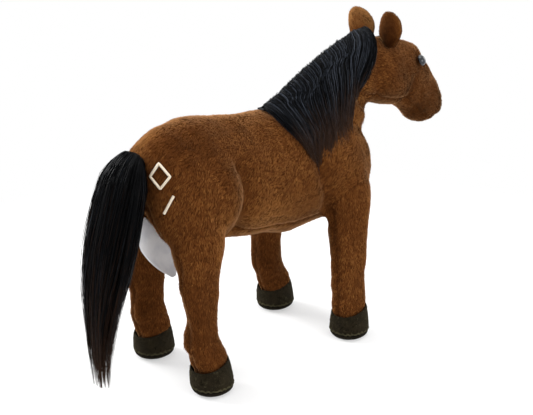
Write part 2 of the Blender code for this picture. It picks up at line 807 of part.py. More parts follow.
def build_ears(horse, head_tree):
    for side, word in ((1, "left"), (-1, "right")):
        above = Vector((side * EAR_OUT, EAR_PLACE, HEAD_HEIGHT + HEAD_LENGTH))
        hit, _, _, _ = head_tree.ray_cast(above, -UP)
        root = hit + UP * EAR_ROOT_GAP
        across = Vector((side * math.cos(EAR_TURN), math.sin(EAR_TURN), 0))
        tip = Vector((side * math.sin(EAR_LEAN_OUT), math.sin(EAR_LEAN_BACK), 1)).normalized()
        front = across.cross(tip) * side
        front = front if front.y < 0 else -front
        horse.pivot(word + "_ear", root + UP * (EAR_ROOT_LIFT / 2))

        def layer(depth):
            rows = []
            for up_share, wide_share in EAR_ROW_SHARES:
                line = []
                for u in EAR_COLUMN_SHARES:
                    cup = EAR_CUP * (0.4 + 0.6 * math.sin(math.pi * up_share))
                    point = root + across * (u * wide_share * EAR_WIDTH / 2)
                    point += tip * (up_share * EAR_HEIGHT) + front * (cup * u * u + depth)
                    if up_share == 0:
                        ground, _, _, _ = head_tree.ray_cast(point + UP * EAR_HEIGHT, -UP)
                        lift = EAR_ROOT_GAP + EAR_ROOT_LIFT * u * u
                        point = Vector((point.x, point.y, max(ground.z + lift, root.z)))
                    line.append(point)
                rows.append(line)
            return rows

        backs = layer(-PILE_THICKNESS / 2 - EAR_LAYER_GAP / 2), layer(-EAR_LAYER_GAP / 2)
        linings = layer(EAR_LAYER_GAP / 2), layer(EAR_LINING_THICKNESS + EAR_LAYER_GAP / 2)
        horse.piece(word + "_ear_back", wall_form(*backs), EAR_PILE, word + "_ear")
        horse.piece(word + "_ear_lining", wall_form(*linings), EAR_PILE, word + "_ear")


def build_mane(horse, flesh):
    """The tape sewn along the crest, and the hair that lies over the right side."""
    places = [
        MANE_START + (MANE_END - MANE_START) * k / (MANE_ROWS - 1) for k in range(MANE_ROWS)
    ]
    lower, upper = PIECE_GAP, PIECE_GAP + MANE_TAPE_THICKNESS

    def on_crest(place, lift):
        above = Vector((0, place, HEAD_HEIGHT + HEAD_LENGTH))
        hit, normal, _, _ = flesh.ray_cast(above, -UP)
        normal.x = 0
        return hit + normal.normalized() * lift

    def tape_row(place, lift):
        half = MANE_TAPE_WIDTH / 2
        return [on_crest(place, lift) + LEFT * (half * u) for u in (1, 0, -1)]

    tape = wall_form([tape_row(y, upper) for y in places], [tape_row(y, lower) for y in places])
    horse.piece("mane_tape", tape, HAIR_TAPE)

    tips = [Vector((0, y * MANE_REACH, z * MANE_HEIGHT)) for y, z in MANE_TIP_SHARES]

    def tip_at(share):
        place = share * (len(tips) - 1)
        k = min(int(place), len(tips) - 2)
        return tips[k].lerp(tips[k + 1], place - k)

    def hair_grid(standoff):
        grid = []
        for number, place in enumerate(places):
            top = on_crest(place, upper + standoff)
            root = on_crest(place, -MANE_THICKNESS)
            end = tip_at(number / (MANE_ROWS - 1))
            beside = MANE_TAPE_WIDTH / 2
            line = [Vector((x, top.y, top.z)) for x in (beside, -beside - MANE_STANDOFF / 2)]
            for down in MANE_COLUMN_SHARES:
                level = root.lerp(end, down)
                hit, normal, _, _ = flesh.ray_cast(level - LEFT * BODY_WIDTH, LEFT)
                if normal.x > 0:
                    normal = -normal
                line.append(hit + normal * (standoff + MANE_STANDOFF))
            grid.append(line)
        return grid

    hair = wall_form(hair_grid(MANE_THICKNESS), hair_grid(SEAM_GAP))
    horse.piece("mane_hair", hair, BLACK_HAIR)


def build_tail(horse, body_tree):
    behind = Vector((0, BODY_LENGTH, TAIL_ROOT_HEIGHT))
    hit, normal, _, _ = body_tree.ray_cast(behind, -BACK)
    if normal.y < 0:
        normal = -normal
    along_rump = Vector((0, -normal.z, normal.y))
    start = hit + normal * PIECE_GAP
    horse.pivot("tail_dock", start + along_rump * DOCK_RADIUS)
    end = start + BACK * DOCK_LENGTH
    horse.pivot("tail", end)
    dock = [
        ring(start, along_rump, DOCK_RADIUS, DOCK_RADIUS, TAIL_SIDES),
        ring(end, UP, DOCK_RADIUS, DOCK_RADIUS, TAIL_SIDES),
    ]
    horse.piece("tail_dock", closed_form(dock), HAIR_TAPE, "tail_dock")
    rows = []
    for out, drop, wide, deep, lean in TAIL_ROW_SHARES:
        angle = math.radians(lean)
        upward = Vector((0, math.cos(angle), math.sin(angle)))
        middle = end + BACK * (PIECE_GAP + out * TAIL_REACH) - UP * (drop * TAIL_DROP)
        rows.append(ring(middle, upward, deep * TAIL_HALF_DEPTH, wide * TAIL_HALF_WIDTH, TAIL_SIDES))
    horse.piece("tail_hair", closed_form(rows), BLACK_HAIR, "tail")


def build_label(horse, body_tree):
    """A blank label hanging from the seam between the buttocks, swung to the right."""
    along = Vector((0, math.cos(LABEL_SEAM_SLOPE), math.sin(LABEL_SEAM_SLOPE)))
    hanging = Vector((0, math.sin(LABEL_SEAM_SLOPE), -math.cos(LABEL_SEAM_SLOPE)))

    def seam_at(across):
        far = Vector((0, LABEL_PLACE, BODY_HEIGHT)) + along * across + hanging * BODY_LENGTH
        hit, _, _, _ = body_tree.ray_cast(far, -hanging)
        return hit + hanging * LABEL_GAP

    horse.pivot("care_label", seam_at(0))
    free = hanging * math.cos(LABEL_SWING) - LEFT * math.sin(LABEL_SWING)
    thick = along.cross(free).normalized() * LABEL_THICKNESS

    def layer(offset):
        return [
            [
                seam_at(u * wide_share * LABEL_WIDTH) + free * (out * LABEL_LENGTH) + offset
                for u in LABEL_COLUMN_SHARES
            ]
            for out, wide_share in LABEL_ROW_SHARES
        ]

    label = wall_form(layer(thick / 2), layer(-thick / 2))
    horse.piece("care_label", label, LABEL_SATIN, "care_label")


def centre_on_floor(horse):
    """Moves the whole horse so that the middle of its box, at the floor, is the origin."""
    bpy.context.view_layer.update()
    graph = bpy.context.evaluated_depsgraph_get()
    places = []
    for made in bpy.data.objects:
        if made.type == "MESH" and not made.hide_render:
            shape = made.evaluated_get(graph)
            places += [shape.matrix_world @ corner.co for corner in shape.data.vertices]
    low = Vector([min(p[axis] for p in places) for axis in range(3)])
    high = Vector([max(p[axis] for p in places) for axis in range(3)])
    middle = (low + high) / 2
    horse.root.location = Vector((-middle.x, -middle.y, -low.z))


def main():
    clear_scene()
    horse = Horse()
    legs = [
        Leg("left_fore", 1, True),
        Leg("right_fore", -1, True),
        Leg("left_hind", 1, False),
        Leg("right_hind", -1, False),
    ]
    leg_spaces = horse.cutter("leg_spaces", joined([leg.arch_cutter() for leg in legs]))
    neck_inside = closed_form(offset_rows(neck_rows(), -PILE_THICKNESS))
    neck_inside = horse.cutter("neck_inside", neck_inside)
    _, ahead, _ = head_frame()
    pivot = head_pivot()
    radius = HEAD_PIVOT_RADIUS + SWING_GAP
    head_space = arch(
        pivot.y, pivot.z, radius, ahead, NECK_LENGTH, NECK_LENGTH, -BODY_WIDTH, BODY_WIDTH
    )
    head_space = horse.cutter("head_space", head_space)
    envelope, core = build_body(horse, leg_spaces, neck_inside)
    build_neck(horse, envelope, core, head_space)
    build_head(horse)
    for leg in legs:
        build_leg(horse, leg)
    body_form = closed_form(body_rows(BODY_SIDES))
    body_tree = tree_of(body_form)
    build_mane(horse, tree_of(joined([body_form, closed_form(neck_rows())])))
    build_tail(horse, body_tree)
    build_label(horse, body_tree)
    centre_on_floor(horse)


main()
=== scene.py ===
"""A standing plush horse: bay pile cloth over a stuffed body, with a long black mane and tail.

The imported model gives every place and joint. The cloth is blown up from the frame's own covers,
the pile and the hair are planted on it as real tufts and strands, and the hooves, eyes, ears, label
and embroidered mark are dressed as the pieces that they are. Lengths are in metres.
"""
import json
import logging
import math
from dataclasses import dataclass
from enum import Enum
from typing import Callable

import bmesh
import bpy
import numpy as np
from mathutils import Matrix, Vector
from mathutils.bvhtree import BVHTree
from mathutils.kdtree import KDTree


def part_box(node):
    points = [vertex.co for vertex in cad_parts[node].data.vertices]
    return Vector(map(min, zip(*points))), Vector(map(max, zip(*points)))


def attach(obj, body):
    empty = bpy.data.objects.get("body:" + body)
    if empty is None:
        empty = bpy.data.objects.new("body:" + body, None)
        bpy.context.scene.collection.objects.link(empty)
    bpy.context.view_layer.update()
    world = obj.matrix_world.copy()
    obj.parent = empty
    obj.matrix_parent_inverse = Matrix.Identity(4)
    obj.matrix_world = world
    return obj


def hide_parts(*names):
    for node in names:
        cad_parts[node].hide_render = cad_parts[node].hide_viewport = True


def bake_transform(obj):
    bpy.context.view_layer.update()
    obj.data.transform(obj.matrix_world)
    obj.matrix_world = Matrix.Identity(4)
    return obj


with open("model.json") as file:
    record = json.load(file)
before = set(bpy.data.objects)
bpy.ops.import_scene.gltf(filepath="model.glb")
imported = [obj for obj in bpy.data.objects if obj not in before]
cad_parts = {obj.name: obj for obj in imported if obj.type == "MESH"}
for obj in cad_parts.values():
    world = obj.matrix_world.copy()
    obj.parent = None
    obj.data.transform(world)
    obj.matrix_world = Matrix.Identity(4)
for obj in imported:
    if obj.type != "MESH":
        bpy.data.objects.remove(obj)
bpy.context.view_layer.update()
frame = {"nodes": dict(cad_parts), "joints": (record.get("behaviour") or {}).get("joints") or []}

log = logging.getLogger("plush_horse")
UP = Vector((0.0, 0.0, 1.0))
BAKE_MAP = "OFBake"

Comb = Callable[[np.ndarray, np.ndarray], np.ndarray]
Stops = tuple[tuple[float, str], ...]

# Spread in radians of how far a strand of hair is turned about its length
STRAND_ROLL = 0.6

# A wave texture of this scale has one band to a metre
BANDS_PER_UNIT = 0.31


class Side(Enum):
    """A side of the horse, with the sign of x there."""

    LEFT = 1
    RIGHT = -1

    @property
    def word(self) -> str:
        """The side's name as the frame's nodes spell it."""
        return self.name.lower()


class Corner(Enum):
    """A leg of the horse, named as the frame's nodes are."""

    LEFT_FORE = "left_fore"
    RIGHT_FORE = "right_fore"
    LEFT_HIND = "left_hind"
    RIGHT_HIND = "right_hind"

    @property
    def side(self) -> Side:
        """The side that the leg stands on."""
        return Side.LEFT if self.value.startswith("left") else Side.RIGHT

    @property
    def fore(self) -> bool:
        """Whether it is a front leg."""
        return self.value.endswith("fore")


# Colours and nodes


def linear(code: str) -> tuple[float, float, float, float]:
    """Turns an sRGB hex colour into linear RGBA.

    Args:
        code: The colour as "#rrggbb".

    Returns:
        The four linear channels, alpha 1.
    """
    shares = [int(code[i : i + 2], 16) / 255 for i in (1, 3, 5)]
    turned = [s / 12.92 if s <= 0.04045 else ((s + 0.055) / 1.055) ** 2.4 for s in shares]
    return (*turned, 1.0)


def add_node(
    tree: bpy.types.NodeTree,
    kind: str,
    options: dict | None = None,
    values: dict | None = None,
    links: dict | None = None,
    stops: Stops = (),
) -> bpy.types.Node:
    """Adds a shader node.

    Args:
        tree: The material's node tree.
        kind: Blender's name of the node type.
        options: The node's own properties.
        values: Constants for its input sockets.
        links: Output sockets to join to its input sockets.
        stops: Places with their sRGB colours in rising order, for a node with a colour ramp.

    Returns:
        The new node.
    """
    made = tree.nodes.new(kind)
    for key, value in (options or {}).items():
        setattr(made, key, value)
    for key, value in (values or {}).items():
        made.inputs[key].default_value = value
    for key, source in (links or {}).items():
        tree.links.new(source, made.inputs[key])
    if stops:
        elements = made.color_ramp.elements
        while len(elements) < len(stops):
            elements.new(0.5)
        for element, (place, code) in zip(elements, stops):
            element.position = place
            element.color = linear(code)
    return made


@dataclass(frozen=True)
class Finish:
    """A finish of one real material; each kind fills in its own pattern."""

    name: str
    slot: str
    roughness: float = 0.8

    # Constants of the main shader
    SOCKETS = {}

    def material(self) -> bpy.types.Material:
        """Makes the material once, and gives the same one afterwards."""
        ready = bpy.data.materials.get(self.name)
        if ready:
            return ready
        made = bpy.data.materials.new(self.name)
        made.use_nodes = True
        tree = made.node_tree
        tree.nodes.clear()
        constants = {"Roughness": self.roughness, **self.SOCKETS}
        shader = add_node(tree, "ShaderNodeBsdfPrincipled", values=constants)
        add_node(tree, "ShaderNodeOutputMaterial", links={"Surface": shader.outputs["BSDF"]})
        self.pattern(tree, shader)
        return made

    def pattern(self, tree: bpy.types.NodeTree, shader: bpy.types.Node) -> None:
        """Adds the finish's own colour and grain."""
        raise NotImplementedError

    def surfaced(
        self,
        tree: bpy.types.NodeTree,
        shader: bpy.types.Node,
        tone: bpy.types.NodeSocket,
        stops: Stops,
        height: bpy.types.NodeSocket | None = None,
        relief: tuple[float, float] = (0.0, 0.0),
    ) -> None:
        """Colours the surface by one pattern and raises it by another.

        Args:
            tree: The material's node tree.
            shader: Its main shader.
            tone: The value that picks the colour.
            stops: Places with their sRGB colours, in rising order.
            height: The value that raises the surface, if anything does.
            relief: The strength of the relief, and its depth.
        """
        colour = add_node(tree, "ShaderNodeValToRGB", links={"Fac": tone}, stops=stops)
        tree.links.new(colour.outputs["Color"], shader.inputs["Base Color"])
        if height is None:
            return
        strength, depth = relief
        bump = add_node(
            tree,
            "ShaderNodeBump",
            values={"Strength": strength, "Distance": depth},
            links={"Height": height},
        )
        tree.links.new(bump.outputs["Normal"], shader.inputs["Normal"])

    def dress(self, piece: bpy.types.Object) -> bpy.types.Object:
        """Gives a piece this finish."""
        piece.data.materials.clear()
        piece.data.materials.append(self.material())
        return piece


@dataclass(frozen=True)
class PilePlush(Finish):
    """Knitted acrylic pile, combed one way; light rims the cut tips, and the roots are coloured darker
    as painted shade deep in the pile.
    """

    dark: str = "#2c1608"
    middle: str = "#623819"
    light: str = "#9a6736"
    sheen: float = 1.0
    tint: str = "#d4a274"
    root_share: float = 0.80

    SOCKETS = {"Sheen Roughness": 0.38, "Specular IOR Level": 0.0}

    def pattern(self, tree: bpy.types.NodeTree, shader: bpy.types.Node) -> None:
        """Colours each tuft by its tone (u) and from root to tip (v)."""
        across = add_node(tree, "ShaderNodeUVMap", {"uv_map": BAKE_MAP})
        parts = add_node(tree, "ShaderNodeSeparateXYZ", links={"Vector": across.outputs["UV"]})
        tone = add_node(
            tree,
            "ShaderNodeValToRGB",
            links={"Fac": parts.outputs["X"]},
            stops=((0.0, self.dark), (0.5, self.middle), (1.0, self.light)),
        )
        # darker towards the root: painted shade deep in the pile
        depth = add_node(
            tree,
            "ShaderNodeMapRange",
            {"interpolation_type": "SMOOTHSTEP"},
            {"From Max": 0.75, "To Min": self.root_share, "To Max": 1.0},
            {"Value": parts.outputs["Y"]},
        )
        colour = add_node(
            tree,
            "ShaderNodeVectorMath",
            {"operation": "SCALE"},
            links={0: tone.outputs["Color"], "Scale": depth.outputs["Result"]},
        )
        tree.links.new(colour.outputs["Vector"], shader.inputs["Base Color"])
        shader.inputs["Sheen Weight"].default_value = self.sheen
        shader.inputs["Sheen Tint"].default_value = linear(self.tint)


@dataclass(frozen=True)
class PlushBacking(Finish):
    """The knitted ground that the tufts stand on, looped, seen only where the pile parts; coloured dark
    as painted shade under the pile.
    """

    colour: str = "#4a2a12"
    loop: float = 0.0012

    SOCKETS = {"Specular IOR Level": 0.0}

    def pattern(self, tree: bpy.types.NodeTree, shader: bpy.types.Node) -> None:
        """Mottles the ground by its knit loops."""
        place = add_node(tree, "ShaderNodeTexCoord")
        knit = add_node(
            tree,
            "ShaderNodeTexNoise",
            values={"Scale": 1 / self.loop, "Detail": 3.0, "Roughness": 0.6},
            links={"Vector": place.outputs["Object"]},
        ).outputs["Fac"]
        self.surfaced(tree, shader, knit, ((0.3, "#301808"), (0.7, self.colour)), knit, (0.6, 0.0006))


@dataclass(frozen=True)
class LongHair(Finish):
    """Smooth nylon doll hair: near black, with the strands of higher tone coloured cool grey as painted
    highlights, brown at the thin tips.
    """

    dark: str = "#010102"
    middle: str = "#060709"
    light: str = "#3b4049"
    tip: str = "#382417"

    SOCKETS = {"Specular IOR Level": 0.06}

    def pattern(self, tree: bpy.types.NodeTree, shader: bpy.types.Node) -> None:
        """Colours each strand by its tone (u), turning brown at the tip (v)."""
        across = add_node(tree, "ShaderNodeUVMap", {"uv_map": BAKE_MAP})
        parts = add_node(tree, "ShaderNodeSeparateXYZ", links={"Vector": across.outputs["UV"]})
        tone = add_node(
            tree,
            "ShaderNodeValToRGB",
            links={"Fac": parts.outputs["X"]},
            stops=((0.0, self.dark), (0.6, self.middle), (1.0, self.light)),
        )
        worn = add_node(
            tree,
            "ShaderNodeMapRange",
            values={"From Min": 0.78, "From Max": 1.0},
            links={"Value": parts.outputs["Y"]},
        )
        colour = add_node(
            tree,
            "ShaderNodeMix",
            {"data_type": "RGBA"},
            {7: linear(self.tip)},
            {0: worn.outputs["Result"], 6: tone.outputs["Color"]},
        )
        tree.links.new(colour.outputs[2], shader.inputs["Base Color"])


@dataclass(frozen=True)
class BrushedSuede(Finish):
    """Imitation suede, brushed: an even, dry olive-black with a short nap and rubbed high spots."""

    dark: str = "#0e0b06"
    light: str = "#2a2316"
    nap: float = 0.0009
    mark: float = 0.009

    SOCKETS = {
        "Sheen Weight": 0.15,
        "Sheen Roughness": 0.4,
        "Sheen Tint": linear("#7a7052"),
        "Specular IOR Level": 0.08,
    }

    def pattern(self, tree: bpy.types.NodeTree, shader: bpy.types.Node) -> None:
        """Mixes handling marks of 9 mm with the nap."""
        place = add_node(tree, "ShaderNodeTexCoord")
        rubbed, nap = (
            add_node(
                tree,
                "ShaderNodeTexNoise",
                values={"Scale": 1 / grain, "Detail": detail, "Roughness": rough},
                links={"Vector": place.outputs["Object"]},
            ).outputs["Fac"]
            for grain, detail, rough in ((self.mark, 4.0, 0.55), (self.nap, 5.0, 0.75))
        )
        both = add_node(tree, "ShaderNodeMix", values={0: 0.6}, links={2: rubbed, 3: nap})
        stops = ((0.34, self.dark), (0.66, self.light))
        self.surfaced(tree, shader, both.outputs[0], stops, nap, (1.0, 0.0009))


@dataclass(frozen=True)
class MouldedEye(Finish):
    """A moulded acrylic safety eye: black-brown body colour under a clear polished dome."""

    colour: str = "#0b0d10"
    centre: str = "#20242a"
    cloud: float = 0.004

    SOCKETS = {"Coat Weight": 0.35, "Coat Roughness": 0.12, "IOR": 1.40}

    def pattern(self, tree: bpy.types.NodeTree, shader: bpy.types.Node) -> None:
        """Clouds the depth of the plastic slightly and coats it."""
        place = add_node(tree, "ShaderNodeTexCoord")
        cloud = add_node(
            tree,
            "ShaderNodeTexNoise",
            values={"Scale": 1 / self.cloud, "Detail": 1.0},
            links={"Vector": place.outputs["Object"]},
        )
        stops = ((0.35, self.colour), (0.7, self.centre))
        self.surfaced(tree, shader, cloud.outputs["Fac"], stops)


@dataclass(frozen=True)
class WovenTape(Finish):
    """A narrow woven tape or cuff of black yarn, with its weave drawn at 1 mm so that it shows."""

    dark: str = "#0a0a0c"
    light: str = "#26262b"
    thread: float = 0.0010

    def pattern(self, tree: bpy.types.NodeTree, shader: bpy.types.Node) -> None:
        """Crosses two sets of yarn."""
        place = add_node(tree, "ShaderNodeTexCoord")
        yarns = [
            add_node(
                tree,
                "ShaderNodeTexWave",
                {"bands_direction": way},
                {"Scale": BANDS_PER_UNIT / self.thread, "Distortion": 0.6, "Detail": 1.0},
                {"Vector": place.outputs["Object"]},
            )
            for way in ("Y", "Z")
        ]
        both = add_node(
            tree,
            "ShaderNodeMath",
            {"operation": "MULTIPLY"},
            links={0: yarns[0].outputs["Fac"], 1: yarns[1].outputs["Fac"]},
        ).outputs["Value"]
        self.surfaced(tree, shader, both, ((0.1, self.dark), (0.8, self.light)), both, (0.5, 0.0003))


@dataclass(frozen=True)
class WovenSatin(Finish):
    """White polyester satin ribbon: fine ribs across it, a soft sheen, and greyer patches of painted
    shade for light handling creases.
    """

    colour: str = "#f6f6f8"
    shade: str = "#e2e3e8"
    rib: float = 0.0008
    crease: float = 0.012

    SOCKETS = {"Sheen Weight": 0.2}

    def pattern(self, tree: bpy.types.NodeTree, shader: bpy.types.Node) -> None:
        """Draws the ribs at 0.8 mm, coarser than the real 0.2 mm, so that they show."""
        place = add_node(tree, "ShaderNodeTexCoord")
        ribs = add_node(
            tree,
            "ShaderNodeTexWave",
            {"bands_direction": "Z"},
            {"Scale": BANDS_PER_UNIT / self.rib, "Distortion": 0.4, "Detail": 1.0},
            {"Vector": place.outputs["Object"]},
        ).outputs["Fac"]
        # greyer patches over 12 mm: painted shade of handling creases
        crease = add_node(
            tree,
            "ShaderNodeTexNoise",
            values={"Scale": 1 / self.crease, "Detail": 2.0},
            links={"Vector": place.outputs["Object"]},
        ).outputs["Fac"]
        stops = ((0.3, self.shade), (0.6, self.colour))
        self.surfaced(tree, shader, crease, stops, ribs, (0.25, 0.0002))


@dataclass(frozen=True)
class StitchedThread(Finish):
    """Rayon embroidery thread in close satin stitches, cream, drawn at 0.7 mm a stitch."""

    colour: str = "#efe4d0"
    shade: str = "#c9b595"
    stitch: float = 0.0007

    SOCKETS = {"Sheen Weight": 0.3}

    def pattern(self, tree: bpy.types.NodeTree, shader: bpy.types.Node) -> None:
        """Bands the thread by its stitches."""
        place = add_node(tree, "ShaderNodeTexCoord")
        bands = add_node(
            tree,
            "ShaderNodeTexWave",
            {"bands_direction": "DIAGONAL"},
            {"Scale": BANDS_PER_UNIT / self.stitch, "Distortion": 1.0, "Detail": 2.0},
            {"Vector": place.outputs["Object"]},
        ).outputs["Fac"]
        stops = ((0.1, self.shade), (0.6, self.colour))
        self.surfaced(tree, shader, bands, stops, bands, (0.6, 0.0003))


@dataclass(frozen=True)
class NaturalPlastic(Finish):
    """Unpigmented nylon of a locking washer, with a faint moulding haze."""

    colour: str = "#dcdcd6"
    haze: float = 0.002

    def pattern(self, tree: bpy.types.NodeTree, shader: bpy.types.Node) -> None:
        """Hazes the plastic over 2 mm."""
        place = add_node(tree, "ShaderNodeTexCoord")
        haze = add_node(
            tree,
            "ShaderNodeTexNoise",
            values={"Scale": 1 / self.haze, "Detail": 2.0},
            links={"Vector": place.outputs["Object"]},
        )
        stops = ((0.3, "#c4c4be"), (0.7, self.colour))
        self.surfaced(tree, shader, haze.outputs["Fac"], stops)


@dataclass(frozen=True)
class StudioPaper(Finish):
    """White background paper: it keeps the shadow near the horse and runs out to plain white."""

    colour: str = "#f4f4f4"
    grain: float = 0.004
    near: float = 0.26
    far: float = 0.50
    least: float = 0.45

    def pattern(self, tree: bpy.types.NodeTree, shader: bpy.types.Node) -> None:
        """Fades the lit paper into plain white away from the horse."""
        place = add_node(tree, "ShaderNodeTexCoord").outputs["Object"]
        grain = add_node(
            tree,
            "ShaderNodeTexNoise",
            values={"Scale": 1 / self.grain, "Detail": 2.0},
            links={"Vector": place},
        )
        stops = ((0.2, "#f2f2f2"), (0.8, self.colour))
        self.surfaced(tree, shader, grain.outputs["Fac"], stops)
        away = add_node(tree, "ShaderNodeVectorMath", {"operation": "LENGTH"}, links={0: place})
        fade = add_node(
            tree,
            "ShaderNodeMapRange",
            {"interpolation_type": "SMOOTHSTEP"},
            {"From Min": self.near, "From Max": self.far, "To Min": self.least},
            {"Value": away.outputs["Value"]},
        )
        white = add_node(tree, "ShaderNodeEmission", values={"Color": (1, 1, 1, 1)})
        both = add_node(
            tree,
            "ShaderNodeMixShader",
            links={0: fade.outputs["Result"], 1: shader.outputs["BSDF"], 2: white.outputs[0]},
        )
        out = next(n for n in tree.nodes if n.type == "OUTPUT_MATERIAL")
        tree.links.new(both.outputs[0], out.inputs["Surface"])


BAY = PilePlush("acrylic_pile_bay", "bay_pile", 0.9)
EAR_BAY = PilePlush("acrylic_pile_ear", "ear_pile", 0.9, "#2a1206", "#6f421f", "#b98550", 0.5)
HOOF_NAP = PilePlush(
    "suede_nap_hoof", "hoof_suede", 0.95, "#0b0906", "#221e14", "#454030", 0.5, "#8a8468"
)
BACKING = PlushBacking("knitted_backing", "bay_pile", 0.95)
EAR_BACKING = PlushBacking("knitted_ear_backing", "ear_pile", 0.95, "#4c2a13")
HAIR = LongHair("nylon_hair_black", "black_hair", 0.34)
SUEDE = BrushedSuede("brushed_suede_hoof", "hoof_suede", 0.95)
EDGE = BrushedSuede("suede_turned_edge", "sole_suede", 0.9, "#1c190f", "#4d4834")
SOLE = BrushedSuede("brushed_suede_sole", "sole_suede", 0.92, "#0a0805", "#1e1910")
EYE = MouldedEye("acrylic_eye", "eye_plastic", 0.15)
WASHER = NaturalPlastic("nylon_washer", "washer_plastic", 0.45)
TAPE = WovenTape("woven_hair_tape", "hair_tape", 0.85)
CUFF = WovenTape("woven_tail_cuff", "hair_tape", 0.95, "#050506", "#0b0b0d")
SATIN = WovenSatin("satin_label_ribbon", "label_satin", 0.5)
THREAD = StitchedThread("rayon_thread_cream", "bay_pile", 0.55)
PAPER = StudioPaper("background_paper", "bay_pile", 0.95)

# Mesh helpers


def pivot_of(body: str) -> Vector:
    """Gives the place of the joint that carries a body."""
    return Vector(next(j["pos_m"] for j in frame["joints"] if j["child"] == body))


def place_of(mesh: bpy.types.Mesh) -> np.ndarray:
    """Gives a mesh's points as an array of rows."""
    flat = np.empty(len(mesh.vertices) * 3)
    mesh.vertices.foreach_get("co", flat)
    return flat.reshape(-1, 3)


def normals_of(mesh: bpy.types.Mesh) -> np.ndarray:
    """Gives a mesh's point normals as an array of rows."""
    flat = np.empty(len(mesh.vertices) * 3)
    mesh.vertices.foreach_get("normal", flat)
    return flat.reshape(-1, 3)


def unit(rows: np.ndarray) -> np.ndarray:
    """Scales each row to length one."""
    return rows / np.maximum(np.linalg.norm(rows, axis=-1, keepdims=True), 1e-12)


def move_to(mesh: bpy.types.Mesh, points: np.ndarray) -> None:
    """Puts a mesh's points at the rows of an array."""
    mesh.vertices.foreach_set("co", points.reshape(-1))
    mesh.update()


def new_piece(name: str, data: bpy.types.ID) -> bpy.types.Object:
    """Makes an object of a mesh, curve, lamp or camera, in the scene."""
    made = bpy.data.objects.new(name, data)
    bpy.context.scene.collection.objects.link(made)
    return made


def take_down(piece: bpy.types.Object) -> None:
    """Removes a helper object from the scene."""
    bpy.data.objects.remove(piece)


def settled(piece: bpy.types.Object) -> bpy.types.Mesh:
    """Gives the mesh that an object's modifiers make of it."""
    graph = bpy.context.evaluated_depsgraph_get()
    graph.update()
    return bpy.data.meshes.new_from_object(piece.evaluated_get(graph))


def with_modifier(mesh: bpy.types.Mesh, kind: str, **settings: object) -> bpy.types.Mesh:
    """Runs one modifier over a mesh.

    Args:
        mesh: The mesh to work on.
        kind: Blender's name of the modifier type.
        **settings: The modifier's properties.

    Returns:
        A new mesh with the modifier applied.
    """
    helper = new_piece("helper", mesh)
    modifier = helper.modifiers.new("work", kind)
    for key, value in settings.items():
        setattr(modifier, key, value)
    made = settled(helper)
    take_down(helper)
    return made


def merged(names: list[str]) -> bmesh.types.BMesh:
    """Copies frame nodes into one bmesh and merges their loose triangles.

    Args:
        names: The frame's nodes.

    Returns:
        The bmesh, to be freed by the caller.
    """
    made = bmesh.new()
    for name in names:
        made.from_mesh(frame["nodes"][name].data)
    bmesh.ops.remove_doubles(made, verts=made.verts[:], dist=0.00002)
    return made


def to_mesh(made: bmesh.types.BMesh, name: str) -> bpy.types.Mesh:
    """Turns a bmesh into a mesh and frees it."""
    mesh = bpy.data.meshes.new(name)
    made.to_mesh(mesh)
    made.free()
    return mesh


def rounded(node: str, name: str) -> bpy.types.Mesh:
    """Copies a frame node, merged and subdivided smooth."""
    return with_modifier(to_mesh(merged([node]), name), "SUBSURF", levels=2, render_levels=2)


def give_values(mesh: bpy.types.Mesh, **values: np.ndarray) -> None:
    """Stores values by name on a mesh's points."""
    for key, rows in values.items():
        layer = mesh.attributes.new(key, "FLOAT", "POINT")
        layer.data.foreach_set("value", rows.astype(np.float32))


def tree_of(mesh: bpy.types.Mesh) -> BVHTree:
    """Gives the search tree of a mesh's faces."""
    return BVHTree.FromPolygons(
        [v.co for v in mesh.vertices], [tuple(p.vertices) for p in mesh.polygons]
    )


def cord(name: str, lines: list, radius: float, closed: bool) -> bpy.types.Mesh:
    """Sweeps a round section along lines.

    Args:
        name: The mesh's name.
        lines: Lists of places.
        radius: The section's radius.
        closed: Whether the lines are smooth rings; open ones keep their corners and get caps.

    Returns:
        The mesh.
    """
    curve = bpy.data.curves.new(name, "CURVE")
    curve.dimensions = "3D"
    curve.bevel_depth = radius
    curve.bevel_resolution = 3
    curve.resolution_u = 3
    curve.use_fill_caps = not closed
    for places in lines:
        spline = curve.splines.new("NURBS" if closed else "POLY")
        spline.points.add(len(places) - 1)
        for point, place in zip(spline.points, places):
            point.co = (*place, 1.0)
        if closed:
            spline.use_cyclic_u = True
            spline.order_u = 4
    helper = new_piece("helper", curve)
    mesh = settled(helper)
    take_down(helper)
    mesh.name = name
    mesh.shade_smooth()
    return mesh


def relaxed(mesh: bpy.types.Mesh, points: np.ndarray, rounds: int) -> np.ndarray:
    """Evens out facets without shrinking the form.

    Args:
        mesh: The mesh that gives the edges.
        points: The points to move.
        rounds: How many times to smooth.

    Returns:
        The moved points.
    """
    ends = np.empty(len(mesh.edges) * 2, np.int32)
    mesh.edges.foreach_get("vertices", ends)
    first, second = ends.reshape(-1, 2).T
    count = np.bincount(ends, minlength=len(points))[:, None]
    for step in (0.55, -0.56) * rounds:
        total = np.zeros_like(points)
        np.add.at(total, first, points[second])
        np.add.at(total, second, points[first])
        points = points + step * (total / np.maximum(count, 1) - points)
    return points


def soft_noise(points: np.ndarray, grain: float, seed: int) -> np.ndarray:
    """Smooth noise of about unit spread over space.

    Args:
        points: Rows of places.
        grain: The size of its patches.
        seed: The number that fixes it.

    Returns:
        One value for each row.
    """
    rng = np.random.default_rng(seed)
    waves = rng.normal(size=(3, 20)) * (2 * math.pi / grain / math.sqrt(3))
    return np.sin(points @ waves + rng.uniform(0, 2 * math.pi, 20)).sum(1) / math.sqrt(10)


def soft_waves(rng: np.random.Generator, along: np.ndarray, count: int) -> np.ndarray:
    """Gives each strand its own slow wave, nothing at the root and fullest at the tip."""
    turns = rng.uniform(3, 8, (count, 1))
    return np.sin(along * turns + rng.uniform(0, 6.3, (count, 1))) * along


